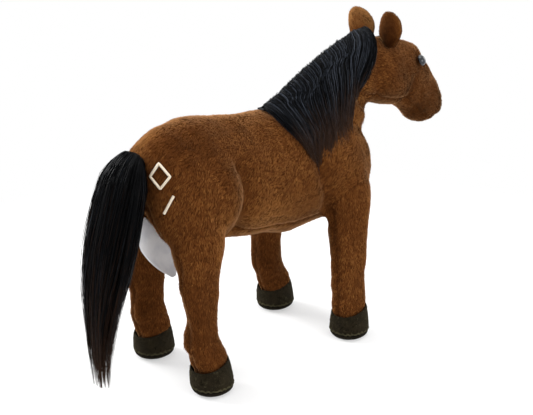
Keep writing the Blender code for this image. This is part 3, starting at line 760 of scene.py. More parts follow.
def from_path(points: np.ndarray, path: tuple[tuple[float, float, float], ...]) -> np.ndarray:
    """Distance of each point from a broken line.

    Args:
        points: Rows of places.
        path: The line's points.

    Returns:
        One distance for each row.
    """
    nearest = np.full(len(points), np.inf)
    line = np.array(path, float)
    if len(line) == 1:
        return np.linalg.norm(points - line[0], axis=1)
    for start, end in zip(line[:-1], line[1:]):
        run = end - start
        share = np.clip((points - start) @ run / run.dot(run), 0, 1)
        away = np.linalg.norm(points - start - share[:, None] * run, axis=1)
        nearest = np.minimum(nearest, away)
    return nearest


def rolled(
    rows: np.ndarray, out: np.ndarray, rng: np.random.Generator
) -> tuple[np.ndarray, np.ndarray]:
    """Turns each strand a little about its length.

    Args:
        rows: Middle points, strand by row by xyz.
        out: Unit vectors away from what the strands lie on, of the same shape.
        rng: The seeded generator.

    Returns:
        Unit vectors across the strands and out of their broad sides.
    """
    tangent = unit(np.gradient(rows, axis=1))
    side = unit(np.cross(out, tangent))
    roll = rng.normal(0, STRAND_ROLL, (len(rows), 1, 1))
    side = unit(side * np.cos(roll) + np.cross(tangent, side) * np.sin(roll))
    facing = unit(np.cross(tangent, side))
    return side, facing * np.sign((facing * out).sum(-1, keepdims=True) + 1e-9)


def ribbons(
    name: str,
    rows: np.ndarray,
    sides: np.ndarray,
    halves: np.ndarray,
    facing: np.ndarray,
    tone: np.ndarray,
) -> bpy.types.Mesh:
    """Makes one mesh of many thin strands, each shaded as if it were round.

    Strands by the thousand have no operator of their own, so their points are laid out here.

    Args:
        name: The mesh's name.
        rows: Middle points, strand by row by xyz.
        sides: Unit vectors across each strand, of the same shape.
        halves: Half widths, strand by row.
        facing: Unit vectors out of each strand's broad side, of the same shape as rows.
        tone: One value from 0 to 1 for each strand.

    Returns:
        The mesh, with its tone and length in the bake map.
    """
    count, long = rows.shape[:2]
    half = sides * halves[..., None]
    points = np.stack((rows - half, rows + half), axis=2)
    leaning = np.stack((facing - sides * 0.9, facing + sides * 0.9), axis=2)
    corner = np.arange(count * long * 2).reshape(count, long, 2)
    faces = np.stack(
        (corner[:, :-1, 1], corner[:, :-1, 0], corner[:, 1:, 0], corner[:, 1:, 1]), axis=-1
    )
    along = np.broadcast_to(np.linspace(0, 1, long), (count, long))
    u = np.stack((tone - 0.003, tone + 0.003), axis=-1)[:, None, :]
    uv = np.empty((count, long, 2, 2))
    uv[..., 0] = np.clip(np.broadcast_to(u, (count, long, 2)), 0.002, 0.998)
    uv[..., 1] = along[..., None] * 0.996 + 0.002
    return laid_mesh(name, points.reshape(-1, 3), faces.reshape(-1, 4), leaning, uv)


def laid_mesh(
    name: str, points: np.ndarray, faces: np.ndarray, leaning: np.ndarray, uv: np.ndarray
) -> bpy.types.Mesh:
    """Makes a mesh of laid-out faces, with its own normals and bake map.

    Args:
        name: The mesh's name.
        points: Rows of places.
        faces: Rows of corners, all of one count.
        leaning: Normals, one for each point.
        uv: Map places, one for each point.

    Returns:
        The mesh.
    """
    mesh = bpy.data.meshes.new(name)
    sides = faces.shape[1]
    mesh.vertices.add(len(points))
    mesh.vertices.foreach_set("co", points.reshape(-1))
    mesh.loops.add(faces.size)
    mesh.loops.foreach_set("vertex_index", faces.reshape(-1).astype(np.int32))
    mesh.polygons.add(len(faces))
    starts = np.arange(0, faces.size, sides, dtype=np.int32)
    mesh.polygons.foreach_set("loop_start", starts)
    mesh.update(calc_edges=True)
    layer = mesh.uv_layers.new(name=BAKE_MAP)
    layer.data.foreach_set("uv", uv.reshape(-1, 2)[faces.reshape(-1)].reshape(-1))
    mesh.polygons.foreach_set("use_smooth", np.ones(len(faces), bool))
    mesh.normals_split_custom_set_from_vertices(unit(leaning.reshape(-1, 3)))
    return mesh


# The pile


@dataclass(frozen=True)
class Pile:
    """How the pile cloth is made: its tufts' length, width and number, and how it lies."""

    length: float = 0.0042
    width: float = 0.00070
    per_square_millimetre: float = 2.2
    lift: float = math.radians(16)
    clump: float = 0.0030
    pull: float = 0.22
    sway: float = 0.22
    speckle: float = 0.050
    mottle: float = 0.125

    def plant(
        self, name: str, ground: bpy.types.Mesh, comb: Comb, seed: int
    ) -> bpy.types.Object:
        """Plants tufts on a ground cloth.

        Args:
            name: The new piece's name.
            ground: The cloth, with point values "tone" and "nap".
            comb: Gives the way that the pile is combed at places with normals.
            seed: The number that fixes the scatter.

        Returns:
            The pile as an object.
        """
        rng = np.random.default_rng(seed)
        root, normal, tone, nap = self.scatter(ground, rng)
        way = comb(root, normal)
        way = unit(way - normal * (way * normal).sum(1, keepdims=True))
        across = np.cross(normal, way)
        turn = self.sway * (0.75 * soft_noise(root, 0.022, 5) + 0.45 * soft_noise(root, 0.007, 6))
        turn = turn + rng.normal(0, 0.16, len(root))
        way = way * np.cos(turn)[:, None] + across * np.sin(turn)[:, None]
        lift = self.lift * (1 + 0.18 * soft_noise(root, 0.012, 7)) + rng.normal(0, 0.07, len(root))
        along = way * np.cos(lift)[:, None] + normal * np.sin(lift)[:, None]
        length = self.length * nap * rng.uniform(0.78, 1.15, len(root))
        root = root - normal * 0.0004
        tip = root + along * length[:, None]
        tip, shade = self.clumped(root, tip, rng)
        along = unit(tip - root)
        side = unit(np.cross(normal, along))
        roll = rng.normal(0, 0.22, len(root))
        broad = np.cross(along, side)
        side = side * np.cos(roll)[:, None] + broad * np.sin(roll)[:, None]
        ridge = unit(np.cross(along, side))
        upward = np.sign((ridge * normal).sum(1, keepdims=True) + 1e-9)
        side, ridge = side * upward, ridge * upward
        half = (self.width / 2 * rng.uniform(0.75, 1.2, len(root)))[:, None]
        points = np.stack(
            (root + side * half, root - side * half, root + ridge * half * 0.5, tip), axis=1
        )
        out = unit(normal - along * (normal * along).sum(1, keepdims=True) * 0.55)
        leaning = np.stack((out + side * 0.30, out - side * 0.30, out, out), axis=1)
        tone = tone + self.speckle * shade + rng.normal(0, self.mottle, len(root))
        tone = np.clip(tone, 0.01, 0.99)
        uv = np.empty((len(root), 4, 2))
        uv[..., 0] = tone[:, None] + np.array((-0.004, 0.004, 0.0, 0.0))
        uv[..., 1] = np.array((0.01, 0.01, 0.02, 0.99))
        corners = np.array(((0, 2, 3), (2, 1, 3), (1, 0, 3)))
        faces = (np.arange(len(root))[:, None, None] * 4 + corners).reshape(-1, 3)
        mesh = laid_mesh(name, points.reshape(-1, 3), faces, leaning, uv)
        log.info("%s: %d tufts", name, len(root))
        return new_piece(name, mesh)

    def scatter(
        self, ground: bpy.types.Mesh, rng: np.random.Generator
    ) -> tuple[np.ndarray, np.ndarray, np.ndarray, np.ndarray]:
        """Picks places on the ground cloth, evenly by area.

        Args:
            ground: The cloth.
            rng: The seeded generator.

        Returns:
            Places, normals, tones and pile shares, one row for each tuft.
        """
        ground.calc_loop_triangles()
        corners = np.empty(len(ground.loop_triangles) * 3, np.int32)
        ground.loop_triangles.foreach_get("vertices", corners)
        corners = corners.reshape(-1, 3)
        points = place_of(ground)[corners]
        edge = np.cross(points[:, 1] - points[:, 0], points[:, 2] - points[:, 0])
        area = np.linalg.norm(edge, axis=1) / 2
        count = int(area.sum() * 1e6 * self.per_square_millimetre)
        pick = rng.choice(len(area), count, p=area / area.sum())
        share = rng.random((count, 2))
        over = share.sum(1) > 1
        share[over] = 1 - share[over]
        weight = np.column_stack((1 - share.sum(1), share))
        values = []
        for key in ("tone", "nap"):
            flat = np.empty(len(ground.vertices), np.float32)
            ground.attributes[key].data.foreach_get("value", flat)
            values.append((flat[corners[pick]] * weight).sum(1))
        root = (points[pick] * weight[..., None]).sum(1)
        normal = unit((normals_of(ground)[corners[pick]] * weight[..., None]).sum(1))
        return root, normal, values[0], values[1]

    def clumped(
        self, root: np.ndarray, tip: np.ndarray, rng: np.random.Generator
    ) -> tuple[np.ndarray, np.ndarray]:
        """Draws the tips of neighbouring tufts together.

        Args:
            root: Where the tufts stand.
            tip: Where they would end.
            rng: The seeded generator.

        Returns:
            The new tips, and one random shade for each clump, given to its tufts.
        """
        wobble = np.column_stack([soft_noise(root, self.clump * 3, 40 + k) for k in range(3)])
        cell = np.floor((root + wobble * self.clump * 0.4) / self.clump).astype(np.int64)
        key = cell @ np.array([73856093, 19349663, 83492791])
        _, which = np.unique(key, return_inverse=True)
        which = which.reshape(-1)
        count = np.bincount(which)
        middle = np.column_stack(
            [np.bincount(which, weights=tip[:, k]) / count for k in range(3)]
        )
        shade = rng.normal(size=len(count))
        return tip + (middle[which] - tip) * self.pull, shade[which]


# The stuffed skin


# How much painted shade a fold lays on the tone for each metre that it is deep
SHADOW_OF_A_FOLD = 60.0


@dataclass(frozen=True)
class Crease:
    """A fold or, with a negative depth, a swell of the stuffed cloth along a line."""

    path: tuple[tuple[float, float, float], ...]
    depth: float
    width: float
    shade: float = SHADOW_OF_A_FOLD

    def pressed(self, points: np.ndarray, normals: np.ndarray) -> np.ndarray:
        """Gives the points after the fold is pressed in."""
        share = np.exp(-((from_path(points, self.path) / self.width) ** 2))
        return points - normals * (self.depth * share)[:, None]

    def shadow(self, points: np.ndarray) -> np.ndarray:
        """Gives the painted shade of a fold: how much darker its pile is coloured; a swell stays as it
        is.
        """
        share = np.exp(-((from_path(points, self.path) / (self.width * 0.75)) ** 2))
        return share * max(self.depth, 0.0) * self.shade


@dataclass(frozen=True)
class Spot:
    """A patch of the bay colour, darker for painted shade and lighter for painted light."""

    middle: tuple[float, float, float]
    reach: float
    change: float

    def on(self, points: np.ndarray) -> np.ndarray:
        """Gives the change of tone at each point."""
        away = np.linalg.norm(points - np.array(self.middle), axis=1)
        return self.change * np.exp(-((away / self.reach) ** 2))


@dataclass
class StuffedSkin:
    """The sewn plush cover of body, neck, head and legs, blown up by its filling."""

    voxel: float = 0.0040
    pile_room: float = 0.0015
    pressure: float = 4.0
    swell_limit: float = 0.0020
    blow_frames: int = 20
    seam_depth: float = 0.0011
    seam_width: float = 0.0022
    hoof_cuff: float = 0.0013
    neck_turn_start: tuple[float, float, float] = (0.0, -0.060, 0.213)
    neck_turn_end: tuple[float, float, float] = (0.0, -0.100, 0.230)
    leg_turn_top: float = 0.099
    leg_turn_low: float = 0.072
    cuff_height: float = 0.028
    cuff_spread: float = 0.008
    cuff_ends: float = 0.070
    eye_parting: float = 0.0085
    eye_shadow: float = 0.0075
    muzzle_starts: float = -0.150
    pile: Pile = Pile()

    BODY = ("left_side_panel", "right_side_panel", "belly_gusset", "body_filling")
    NECK = ("left_neck_panel", "right_neck_panel", "neck_filling")
    HEAD = ("left_cheek_panel", "right_cheek_panel", "jaw_gusset", "head_filling")

    # The panel that stands for each filling
    FILLED = {
        "left_side_panel": "body_filling",
        "left_neck_panel": "neck_filling",
        "left_cheek_panel": "head_filling",
    }

    # Swells and hollows of single limbs, found on the photograph's outlines: line, depth, width
    OUTLINES = (
        (((-0.0337, -0.0291, 0.095), (-0.0345, -0.0292, 0.050)), -0.0022, 0.0110),
        (((-0.0514, -0.0494, 0.118), (-0.0508, -0.0492, 0.075)), -0.0020, 0.0110),
        (((0.0485, -0.0082, 0.080), (0.0485, -0.0082, 0.050)), -0.0016, 0.0120),
        (((0.0337, -0.0286, 0.078), (0.0330, -0.0290, 0.045)), 0.0014, 0.0100),
        (((0.0327, 0.1146, 0.075), (0.0335, 0.1140, 0.050)), -0.0018, 0.0100),
        (((0.0473, 0.1345, 0.060), (0.0473, 0.1345, 0.035)), 0.0012, 0.0100),
        (((-0.0497, 0.1191, 0.085), (-0.0495, 0.1200, 0.060)), -0.0012, 0.0120),
        (((-0.0124, -0.1670, 0.2325), (0.0124, -0.1670, 0.2325)), 0.0014, 0.0090),
        (((-0.0046, -0.1234, 0.1937), (0.0046, -0.1234, 0.1937)), -0.0010, 0.0140),
    )

    def covers(self) -> list[str]:
        """Names every frame node that the skin stands for."""
        legs = [
            f"{corner.value}_leg_{part}"
            for corner in Corner
            for part in ("outer_panel", "inner_panel", "filling")
        ]
        return [*self.BODY, *self.NECK, *self.HEAD, *legs]

    def muscles(self) -> list[tuple[tuple[float, float, float], tuple[float, float, float]]]:
        """Gives the fills that carry each leg's root into the body: middles and half sizes."""
        made = []
        for corner in Corner:
            pivot = pivot_of(f"leg_{corner.value}")
            sign = corner.side.value
            if corner.fore:
                made.append(((sign * 0.0365, pivot.y, 0.130), (0.0195, 0.0235, 0.034)))
            else:
                made.append(((sign * 0.0375, pivot.y - 0.001, 0.128), (0.0195, 0.0240, 0.036)))
        made.append(((0.0, -0.080, 0.199), (0.0165, 0.0155, 0.016)))
        made.append(((0.0, -0.083, 0.222), (0.0215, 0.0200, 0.021)))
        return made

    def creases(self) -> list[Crease]:
        """Gives the folds that the photograph shows, on both sides."""
        belly = ((0.0, 0.050, 0.1165), (0.0, 0.012, 0.1170))
        chest = ((0.0, 0.004, 0.1180), (0.0, -0.040, 0.1240))
        brow = ((0.0, -0.130, 0.2540), (0.0, -0.168, 0.2450))
        back = ((0.0, 0.130, 0.2150), (0.0, 0.020, 0.2110))
        made = [
            Crease(belly, -0.0030, 0.0200), Crease(chest, -0.0095, 0.0230),
            Crease(brow, -0.0036, 0.0130), Crease(back, -0.0026, 0.0200),
        ]
        made += [Crease(*row) for row in self.OUTLINES]
        for side in Side:
            made += self.folds_of(side)
        return made

    def folds_of(self, side: Side) -> list[Crease]:
        """Gives one side's folds and swells, those of the left where its legs really stand.

        Args:
            side: The side of the horse.

        Returns:
            Its folds.
        """
        s = side.value
        left = side is Side.LEFT
        hind, fore = (-0.0055, 0.0220) if left else (0.0, 0.0)
        knee_top, knee_low = (-0.002, -0.013) if left else (-0.022, -0.021)
        low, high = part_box(f"{side.word}_eye")
        eye = (low + high) / 2
        # painted shade of the face's folds, two and three times a body fold's
        deep, deeper = 2 * SHADOW_OF_A_FOLD, 3 * SHADOW_OF_A_FOLD

        def line(*places: tuple[float, float, float], back: float = 0.0) -> tuple:
            """Puts a line's places on this side, and further back by a length."""
            return tuple((s * x, y + back, z) for x, y, z in places)

        flank = line((0.0415, 0.0860, 0.183), (0.0435, 0.0815, 0.170), (0.0449, 0.0810, 0.158),
                     (0.0436, 0.0840, 0.142), (0.0295, 0.0800, 0.122), back=hind)
        croup = line((0.018, 0.146, 0.203), (0.020, 0.128, 0.212), back=hind)
        fetlock = line((0.045, 0.147, 0.092), (0.047, 0.150, 0.062), (0.047, 0.148, 0.043),
                       back=hind)
        cannon = line((0.043, 0.099, 0.110), (0.043, 0.104, 0.085), back=hind)
        knee = line((0.043, knee_top, 0.100), (0.045, knee_low, 0.052))
        haunch = line((0.044, 0.103, 0.178), (0.048, 0.102, 0.148), back=hind)
        shoulder = line((0.042, 0.004, 0.179), (0.046, -0.001, 0.162), (0.0455, -0.009, 0.143),
                        (0.0375, -0.018, 0.121), back=fore)
        blade = line((0.044, -0.030, 0.168), (0.046, -0.034, 0.140), back=fore)
        face = line((0.0229, -0.1440, 0.2150), (0.0210, -0.1417, 0.2064),
                    (0.0151, -0.1400, 0.1961))
        jowl = line((0.0206, -0.0969, 0.2400), (0.0220, -0.0957, 0.2318),
                    (0.0215, -0.0943, 0.2199), (0.0190, -0.0970, 0.2090))
        mouth = line((0.0120, -0.1597, 0.1845), (0.0119, -0.1726, 0.1758))
        nostril = line((0.0153, -0.1841, 0.1989))
        cheek = line((0.0242, -0.1105, 0.2210), (0.0235, -0.1180, 0.2150))
        heel = line((0.0341, 0.1393, 0.0520), (0.0347, 0.1395, 0.0455), back=hind)
        pastern = line((0.0355, 0.1396, 0.0350), back=hind)
        return [
            Crease(flank, 0.0050, 0.0085),
            Crease(croup, 0.0020, 0.0160),
            Crease(fetlock, -0.0060, 0.0100),
            Crease(cannon, 0.0012, 0.0120),
            Crease(knee, -0.0030, 0.0120),
            Crease(haunch, -0.0030, 0.0130),
            Crease(shoulder, 0.0040, 0.0065),
            Crease(blade, -0.0022, 0.0150),
            Crease(face, 0.0020, 0.0056, deeper),
            Crease(jowl, 0.0014, 0.0050, deep),
            Crease(mouth, 0.0018, 0.0044, deeper),
            Crease(nostril, -0.0016, 0.0060),
            Crease(cheek, -0.0028, 0.0130),
            Crease(heel, -0.0034, 0.0075),
            Crease(pastern, 0.0012, 0.0045),
            Crease(((eye.x, eye.y + 0.001, eye.z + 0.0095),), -0.0018, 0.0060),
            Crease(((eye.x + s * 0.001, eye.y, eye.z),), 0.0014, 0.0055),
        ]

    def spots(self) -> list[Spot]:
        """Gives the patches of the coat: painted light on the back's rim, the flanks and the neck,
        painted shade on the croup, the head and the legs, and a painted shadow on the left fore leg;
        partly the nap's brushing too.
        """
        made = [
            Spot((0.0134, 0.1389, 0.2077), 0.016, 0.42), Spot((0.0110, 0.1100, 0.2120), 0.018, 0.24),
            Spot((0.0100, 0.0750, 0.2100), 0.020, 0.24), Spot((0.0094, 0.0433, 0.2082), 0.018, 0.28),
            # painted shadow on the left fore leg
            Spot((0.0358, -0.0091, 0.0558), 0.034, -0.22),
        ]
        for side in Side:
            s = side.value
            made += [
                Spot((s * 0.036, 0.118, 0.205), 0.020, -0.16),
                Spot((s * 0.042, 0.135, 0.190), 0.016, -0.02),
                Spot((s * 0.046, 0.050, 0.140), 0.036, 0.12),
                Spot((s * 0.045, -0.010, 0.158), 0.034, 0.08),
                Spot((s * 0.046, 0.105, 0.140), 0.028, 0.14),
                Spot((s * 0.036, 0.050, 0.118), 0.026, 0.30),
                Spot((s * 0.0250, -0.0600, 0.1950), 0.018, 0.24),
                Spot((s * 0.0145, -0.0805, 0.2040), 0.012, 0.30),
                Spot((s * 0.0186, -0.0837, 0.2191), 0.008, 0.18),
                Spot((s * 0.043, 0.130, 0.060), 0.042, -0.15),
                Spot((s * 0.0239, -0.1262, 0.2308), 0.011, -0.18),
                Spot((s * 0.0240, -0.1230, 0.2200), 0.030, -0.10),
                Spot((s * 0.0220, -0.1460, 0.2240), 0.007, -0.16),
                Spot((s * 0.0110, -0.1640, 0.1780), 0.015, -0.26),
                Spot((s * 0.0153, -0.1750, 0.1960), 0.018, -0.18),
                Spot((s * 0.0175, -0.1000, 0.2030), 0.007, 0.12),
            ]
        return made

    def blown(self) -> bpy.types.Mesh:
        """Makes the one closed skin: joined covers, remeshed, blown up and smoothed."""
        joined = merged(self.covers())
        for middle, half in self.muscles():
            place = Matrix.Translation(middle) @ Matrix.Diagonal((*half, 1.0))
            bmesh.ops.create_uvsphere(
                joined, u_segments=24, v_segments=16, radius=1.0, matrix=place
            )
        mesh = to_mesh(joined, "skin_start")
        mesh = with_modifier(mesh, "REMESH", mode="VOXEL", voxel_size=self.voxel)
        points = relaxed(mesh, place_of(mesh), 8)
        move_to(mesh, points)
        start = points - normals_of(mesh) * self.pile_room
        move_to(mesh, start)
        moved = self.under_pressure(mesh) - start
        long = np.linalg.norm(moved, axis=1, keepdims=True)
        moved *= np.minimum(1, self.swell_limit / np.maximum(long, 1e-9))
        move_to(mesh, start + moved)
        log.info("cloth moved by %.2f mm at most", 1000 * long.max())
        return with_modifier(mesh, "SUBSURF", levels=1, render_levels=1)

    def under_pressure(self, mesh: bpy.types.Mesh) -> np.ndarray:
        """Blows the cloth up as its filling does.

        Args:
            mesh: The closed skin before it is filled.

        Returns:
            The points after the simulation's last frame.
        """
        helper = new_piece("skin_cloth", mesh.copy())
        cloth = helper.modifiers.new("cloth", "CLOTH")
        cloth.settings.quality = 4
        cloth.settings.mass = 0.3
        cloth.settings.use_pressure = True
        cloth.settings.uniform_pressure_force = self.pressure
        cloth.settings.effector_weights.gravity = 0.0
        cloth.settings.tension_stiffness = 20
        cloth.settings.compression_stiffness = 20
        cloth.collision_settings.use_collision = False
        cloth.point_cache.frame_start, cloth.point_cache.frame_end = 1, self.blow_frames
        scene = bpy.context.scene
        for number in range(1, self.blow_frames + 1):
            scene.frame_set(number)
        ended = place_of(settled(helper))
        scene.frame_set(1)
        take_down(helper)
        return ended

    def sewn(self, mesh: bpy.types.Mesh) -> np.ndarray:
        """Finds the panel that each face was cut from, by the nearest cover of the frame.

        Args:
            mesh: The finished skin.

        Returns:
            The number of the panel in panel_names for each face.
        """
        joined, owner = bmesh.new(), []
        for number, name in enumerate(self.panel_names()):
            joined.from_mesh(frame["nodes"][name].data)
            owner += [number] * (len(joined.faces) - len(owner))
        tree = BVHTree.FromBMesh(joined)
        joined.free()
        found = [tree.find_nearest(face.center)[2] for face in mesh.polygons]
        return np.array(owner)[np.array(found)]

    def panel_names(self) -> list[str]:
        """Names the cloth panels, without the fillings."""
        return [name for name in self.covers() if not name.endswith("filling")]

    def build(self) -> tuple[bpy.types.Mesh, list[bpy.types.Object]]:
        """Makes the skin, cuts it into its panels and plants the pile on each.

        Returns:
            The whole skin as one mesh for other pieces to lie on, and the pieces.
        """
        skin = self.blown()
        panel = self.sewn(skin)
        points, normals = place_of(skin), normals_of(skin)
        seam = self.near_seams(skin, panel, points)
        for crease in self.creases():
            points = crease.pressed(points, normals)
        over_hoof = np.exp(-(((points[:, 2] - self.cuff_height) / self.cuff_spread) ** 2))
        over_hoof = over_hoof * (points[:, 2] < self.cuff_ends)
        points = points + normals * (self.hoof_cuff * over_hoof - self.seam_depth * seam)[:, None]
        move_to(skin, points)
        tone = 0.50 + 0.03 * soft_noise(points, 0.045, 11) + 0.015 * soft_noise(points, 0.016, 12)
        # Painted light and painted shade of the coat: the spots, then the folds' painted shade
        for spot in self.spots():
            tone += spot.on(points)
        for crease in self.creases():
            tone -= crease.shadow(points)
        # painted shade along the seams, where the cloth sinks in
        tone = np.clip(tone - 0.16 * seam, 0.02, 0.98)
        nap = 1.0 - 0.30 * seam - 0.42 * over_hoof
        for side in Side:
            low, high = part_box(f"{side.word}_eye")
            away = np.linalg.norm(points - np.array((low + high) / 2), axis=1)
            nap *= 1 - 0.55 * np.exp(-((away / self.eye_parting) ** 2))
            tone -= 0.25 * np.exp(-((away / self.eye_shadow) ** 2))
        nap *= np.where(points[:, 1] < self.muzzle_starts, 0.85, 1.0)
        give_values(skin, tone=tone, nap=nap)
        pieces = []
        for number, name in enumerate(self.panel_names()):
            pieces += self.panel(skin, panel == number, name, number)
        return skin, pieces

    def near_seams(
        self, mesh: bpy.types.Mesh, panel: np.ndarray, points: np.ndarray
    ) -> np.ndarray:
        """Tells how near each point is to a sewn seam.

        Args:
            mesh: The skin.
            panel: The panel of each face.
            points: The skin's points.

        Returns:
            One share from 0, away from seams, to 1, on one.
        """
        names = self.panel_names()
        made = bmesh.new()
        made.from_mesh(mesh)
        made.faces.ensure_lookup_table()
        on_seam = set()
        for edge in made.edges:
            if len(edge.link_faces) != 2:
                continue
            one, two = (names[panel[f.index]] for f in edge.link_faces)
            if one == two:
                continue
            legs = "_leg_" in one and "_leg_" in two
            head = one in self.HEAD and two in self.HEAD
            neck = (one in self.NECK) != (two in self.NECK) and "side" not in one + two
            gusset = "gusset" in one + two and "_leg_" not in one + two
            if legs or head or gusset or (neck and (one in self.HEAD or two in self.HEAD)):
                on_seam.update(v.index for v in edge.verts)
        made.free()
        chosen = points[sorted(on_seam)]
        tree = KDTree(len(chosen))
        for number, place in enumerate(chosen):
            tree.insert(place, number)
        tree.balance()
        away = np.array([tree.find(place)[2] for place in points])
        return np.exp(-((away / self.seam_width) ** 2))

    def panel(
        self, skin: bpy.types.Mesh, chosen: np.ndarray, name: str, seed: int
    ) -> list[bpy.types.Object]:
        """Cuts one panel out of the skin, plants its pile, and hangs both on the torso or leaves a leg,
        neck or head panel's pieces in place.

        Args:
            skin: The whole skin.
            chosen: Which faces are the panel's.
            name: The panel's node in the frame.
            seed: The number that fixes its scatter.

        Returns:
            The backing and the pile.
        """
        made = bmesh.new()
        made.from_mesh(skin)
        made.faces.ensure_lookup_table()
        away = [f for f, mine in zip(made.faces, chosen) if not mine]
        bmesh.ops.delete(made, geom=away, context="FACES")
        mesh = to_mesh(made, name + "_backing")
        mesh.shade_smooth()
        comb = head_comb if name in self.HEAD else leg_comb if "_leg_" in name else body_comb
        backing = BACKING.dress(new_piece(name + "_backing", mesh))
        tufts = BAY.dress(self.pile.plant(name + "_pile", mesh, comb, 100 + seed))
        filling = self.FILLED.get(name)
        if name.endswith("leg_outer_panel"):
            filling = name.replace("outer_panel", "filling")
        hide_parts(name, *([filling] if filling else []))
        for piece in (backing, tufts):
            self.hang(piece, name)
        return [backing, tufts]

    def hang(self, piece: bpy.types.Object, name: str) -> None:
        """Hangs a body panel's pieces on the torso; those of a leg, neck or head panel only keep their
        place in the world.
        """
        if "_leg_" in name:
            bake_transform(piece)
        elif name in self.HEAD or name in self.NECK:
            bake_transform(piece)
        else:
            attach(piece, "torso")


def body_comb(points: np.ndarray, normals: np.ndarray) -> np.ndarray:
    """Combs the body's pile back and down, and straight down behind."""
    down = np.clip(0.55 + 1.2 * (points[:, 1] - 0.10) / 0.06, 0.55, 2.2)
    way = np.column_stack((np.zeros(len(points)), np.full(len(points), 0.85), -down))
    under = normals[:, 2] < -0.5
    way[under] = (0.0, 1.0, 0.0)
    return way


def leg_comb(points: np.ndarray, normals: np.ndarray) -> np.ndarray:
    """Combs the legs' pile down."""
    return np.tile((0.0, 0.12, -1.0), (len(points), 1))


def head_comb(points: np.ndarray, normals: np.ndarray) -> np.ndarray:
    """Combs the head's pile from the nose back."""
    return np.tile((0.0, 0.91, 0.30), (len(points), 1))


def ear_comb(points: np.ndarray, normals: np.ndarray) -> np.ndarray:
    """Combs the ears' pile up to their tips."""
    return np.tile((0.0, 0.05, 1.0), (len(points), 1))


# Ears, eyes, hooves


@dataclass
class Ear:
    """A cupped ear: a pile back and a pile lining, turned out and folded at the root."""

    side: Side
    base_tone: float = 0.22
    blunt: float = 0.05
    sunk: float = 0.0042
    back_pile: Pile = Pile(0.0028, 0.0006, 8.0, math.radians(20), 0.0026, 0.08, 0.2, 0.03, 0.07)
    lining_pile: Pile = Pile(0.0017, 0.0006, 8.0, math.radians(24), 0.0024, 0.08, 0.2, 0.03, 0.07)

    def build(self) -> list[bpy.types.Object]:
        """Makes both layers of the ear with their pile."""
        word = self.side.word
        made = []
        for part, pile in (("ear_back", self.back_pile), ("ear_lining", self.lining_pile)):
            name = f"{word}_{part}"
            mesh = rounded(name, name)
            low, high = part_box(name)
            points = place_of(mesh)
            share = (points[:, 2] - low.z) / (high.z - low.z)
            middle = (low.x + high.x) / 2
            edge = np.abs(points[:, 0] - middle) / ((high.x - low.x) / 2)
            points[:, 2] -= self.blunt * (high.z - low.z) * share**3 + self.sunk * (1 - share) ** 2
            points[:, 0] = middle + (points[:, 0] - middle) * (1 + 2 * self.blunt * share)
            move_to(mesh, points)
            # lighter towards the tip and at the rims: painted light where the ear is lit at its edges
            tone = self.base_tone + 0.40 * share**1.5 + 0.50 * edge**3
            tone = np.clip(tone + 0.04 * soft_noise(points, 0.008, 21), 0.02, 0.98)
            give_values(mesh, tone=tone, nap=np.ones(len(points)))
            mesh.shade_smooth()
            ground = EAR_BACKING.dress(new_piece(f"{name}_cloth", mesh))
            tufts = EAR_BAY.dress(pile.plant(f"{name}_pile", mesh, ear_comb, 300 + len(made)))
            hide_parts(name)
            for piece in (ground, tufts):
                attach(piece, f"{word}_ear")
            made += [ground, tufts]
        return made


@dataclass
class Eye:
    """A black safety eye, half sunk in the pile."""

    side: Side
    radius: float = 0.0052
    back: float = 0.0007
    seat: float = 0.0036
    rounds: int = 32

    def build(self) -> list[bpy.types.Object]:
        """Turns the dome on its shank's axis, and finishes the washer behind it."""
        word = self.side.word
        node = frame["nodes"][f"{word}_eye"]
        points = place_of(node.data)
        gaps = np.linalg.norm(points[:, None] - points[None], axis=2)
        one, two = np.unravel_index(gaps.argmax(), gaps.shape)
        ends = sorted((points[one], points[two]), key=lambda p: abs(p[0]))
        axis = Vector(ends[1] - ends[0]).normalized()
        dome = Vector(ends[1]) - axis * self.seat + Vector((0.0, self.back, 0.0))
        made = bmesh.new()
        bmesh.ops.create_uvsphere(
            made, u_segments=self.rounds, v_segments=20, radius=self.radius
        )
        for vert in made.verts:
            vert.co.z *= 0.86 if vert.co.z > 0 else 0.35
        turn = axis.to_track_quat("Z", "Y").to_matrix().to_4x4()
        bmesh.ops.transform(made, matrix=Matrix.Translation(dome) @ turn, verts=made.verts[:])
        mesh = to_mesh(made, f"{word}_eye_dome")
        mesh.shade_smooth()
        eye = EYE.dress(new_piece(f"{word}_eye_dome", mesh))
        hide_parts(f"{word}_eye")
        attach(eye, "head")
        WASHER.dress(frame["nodes"][f"{word}_eye_washer"])
        return [eye]


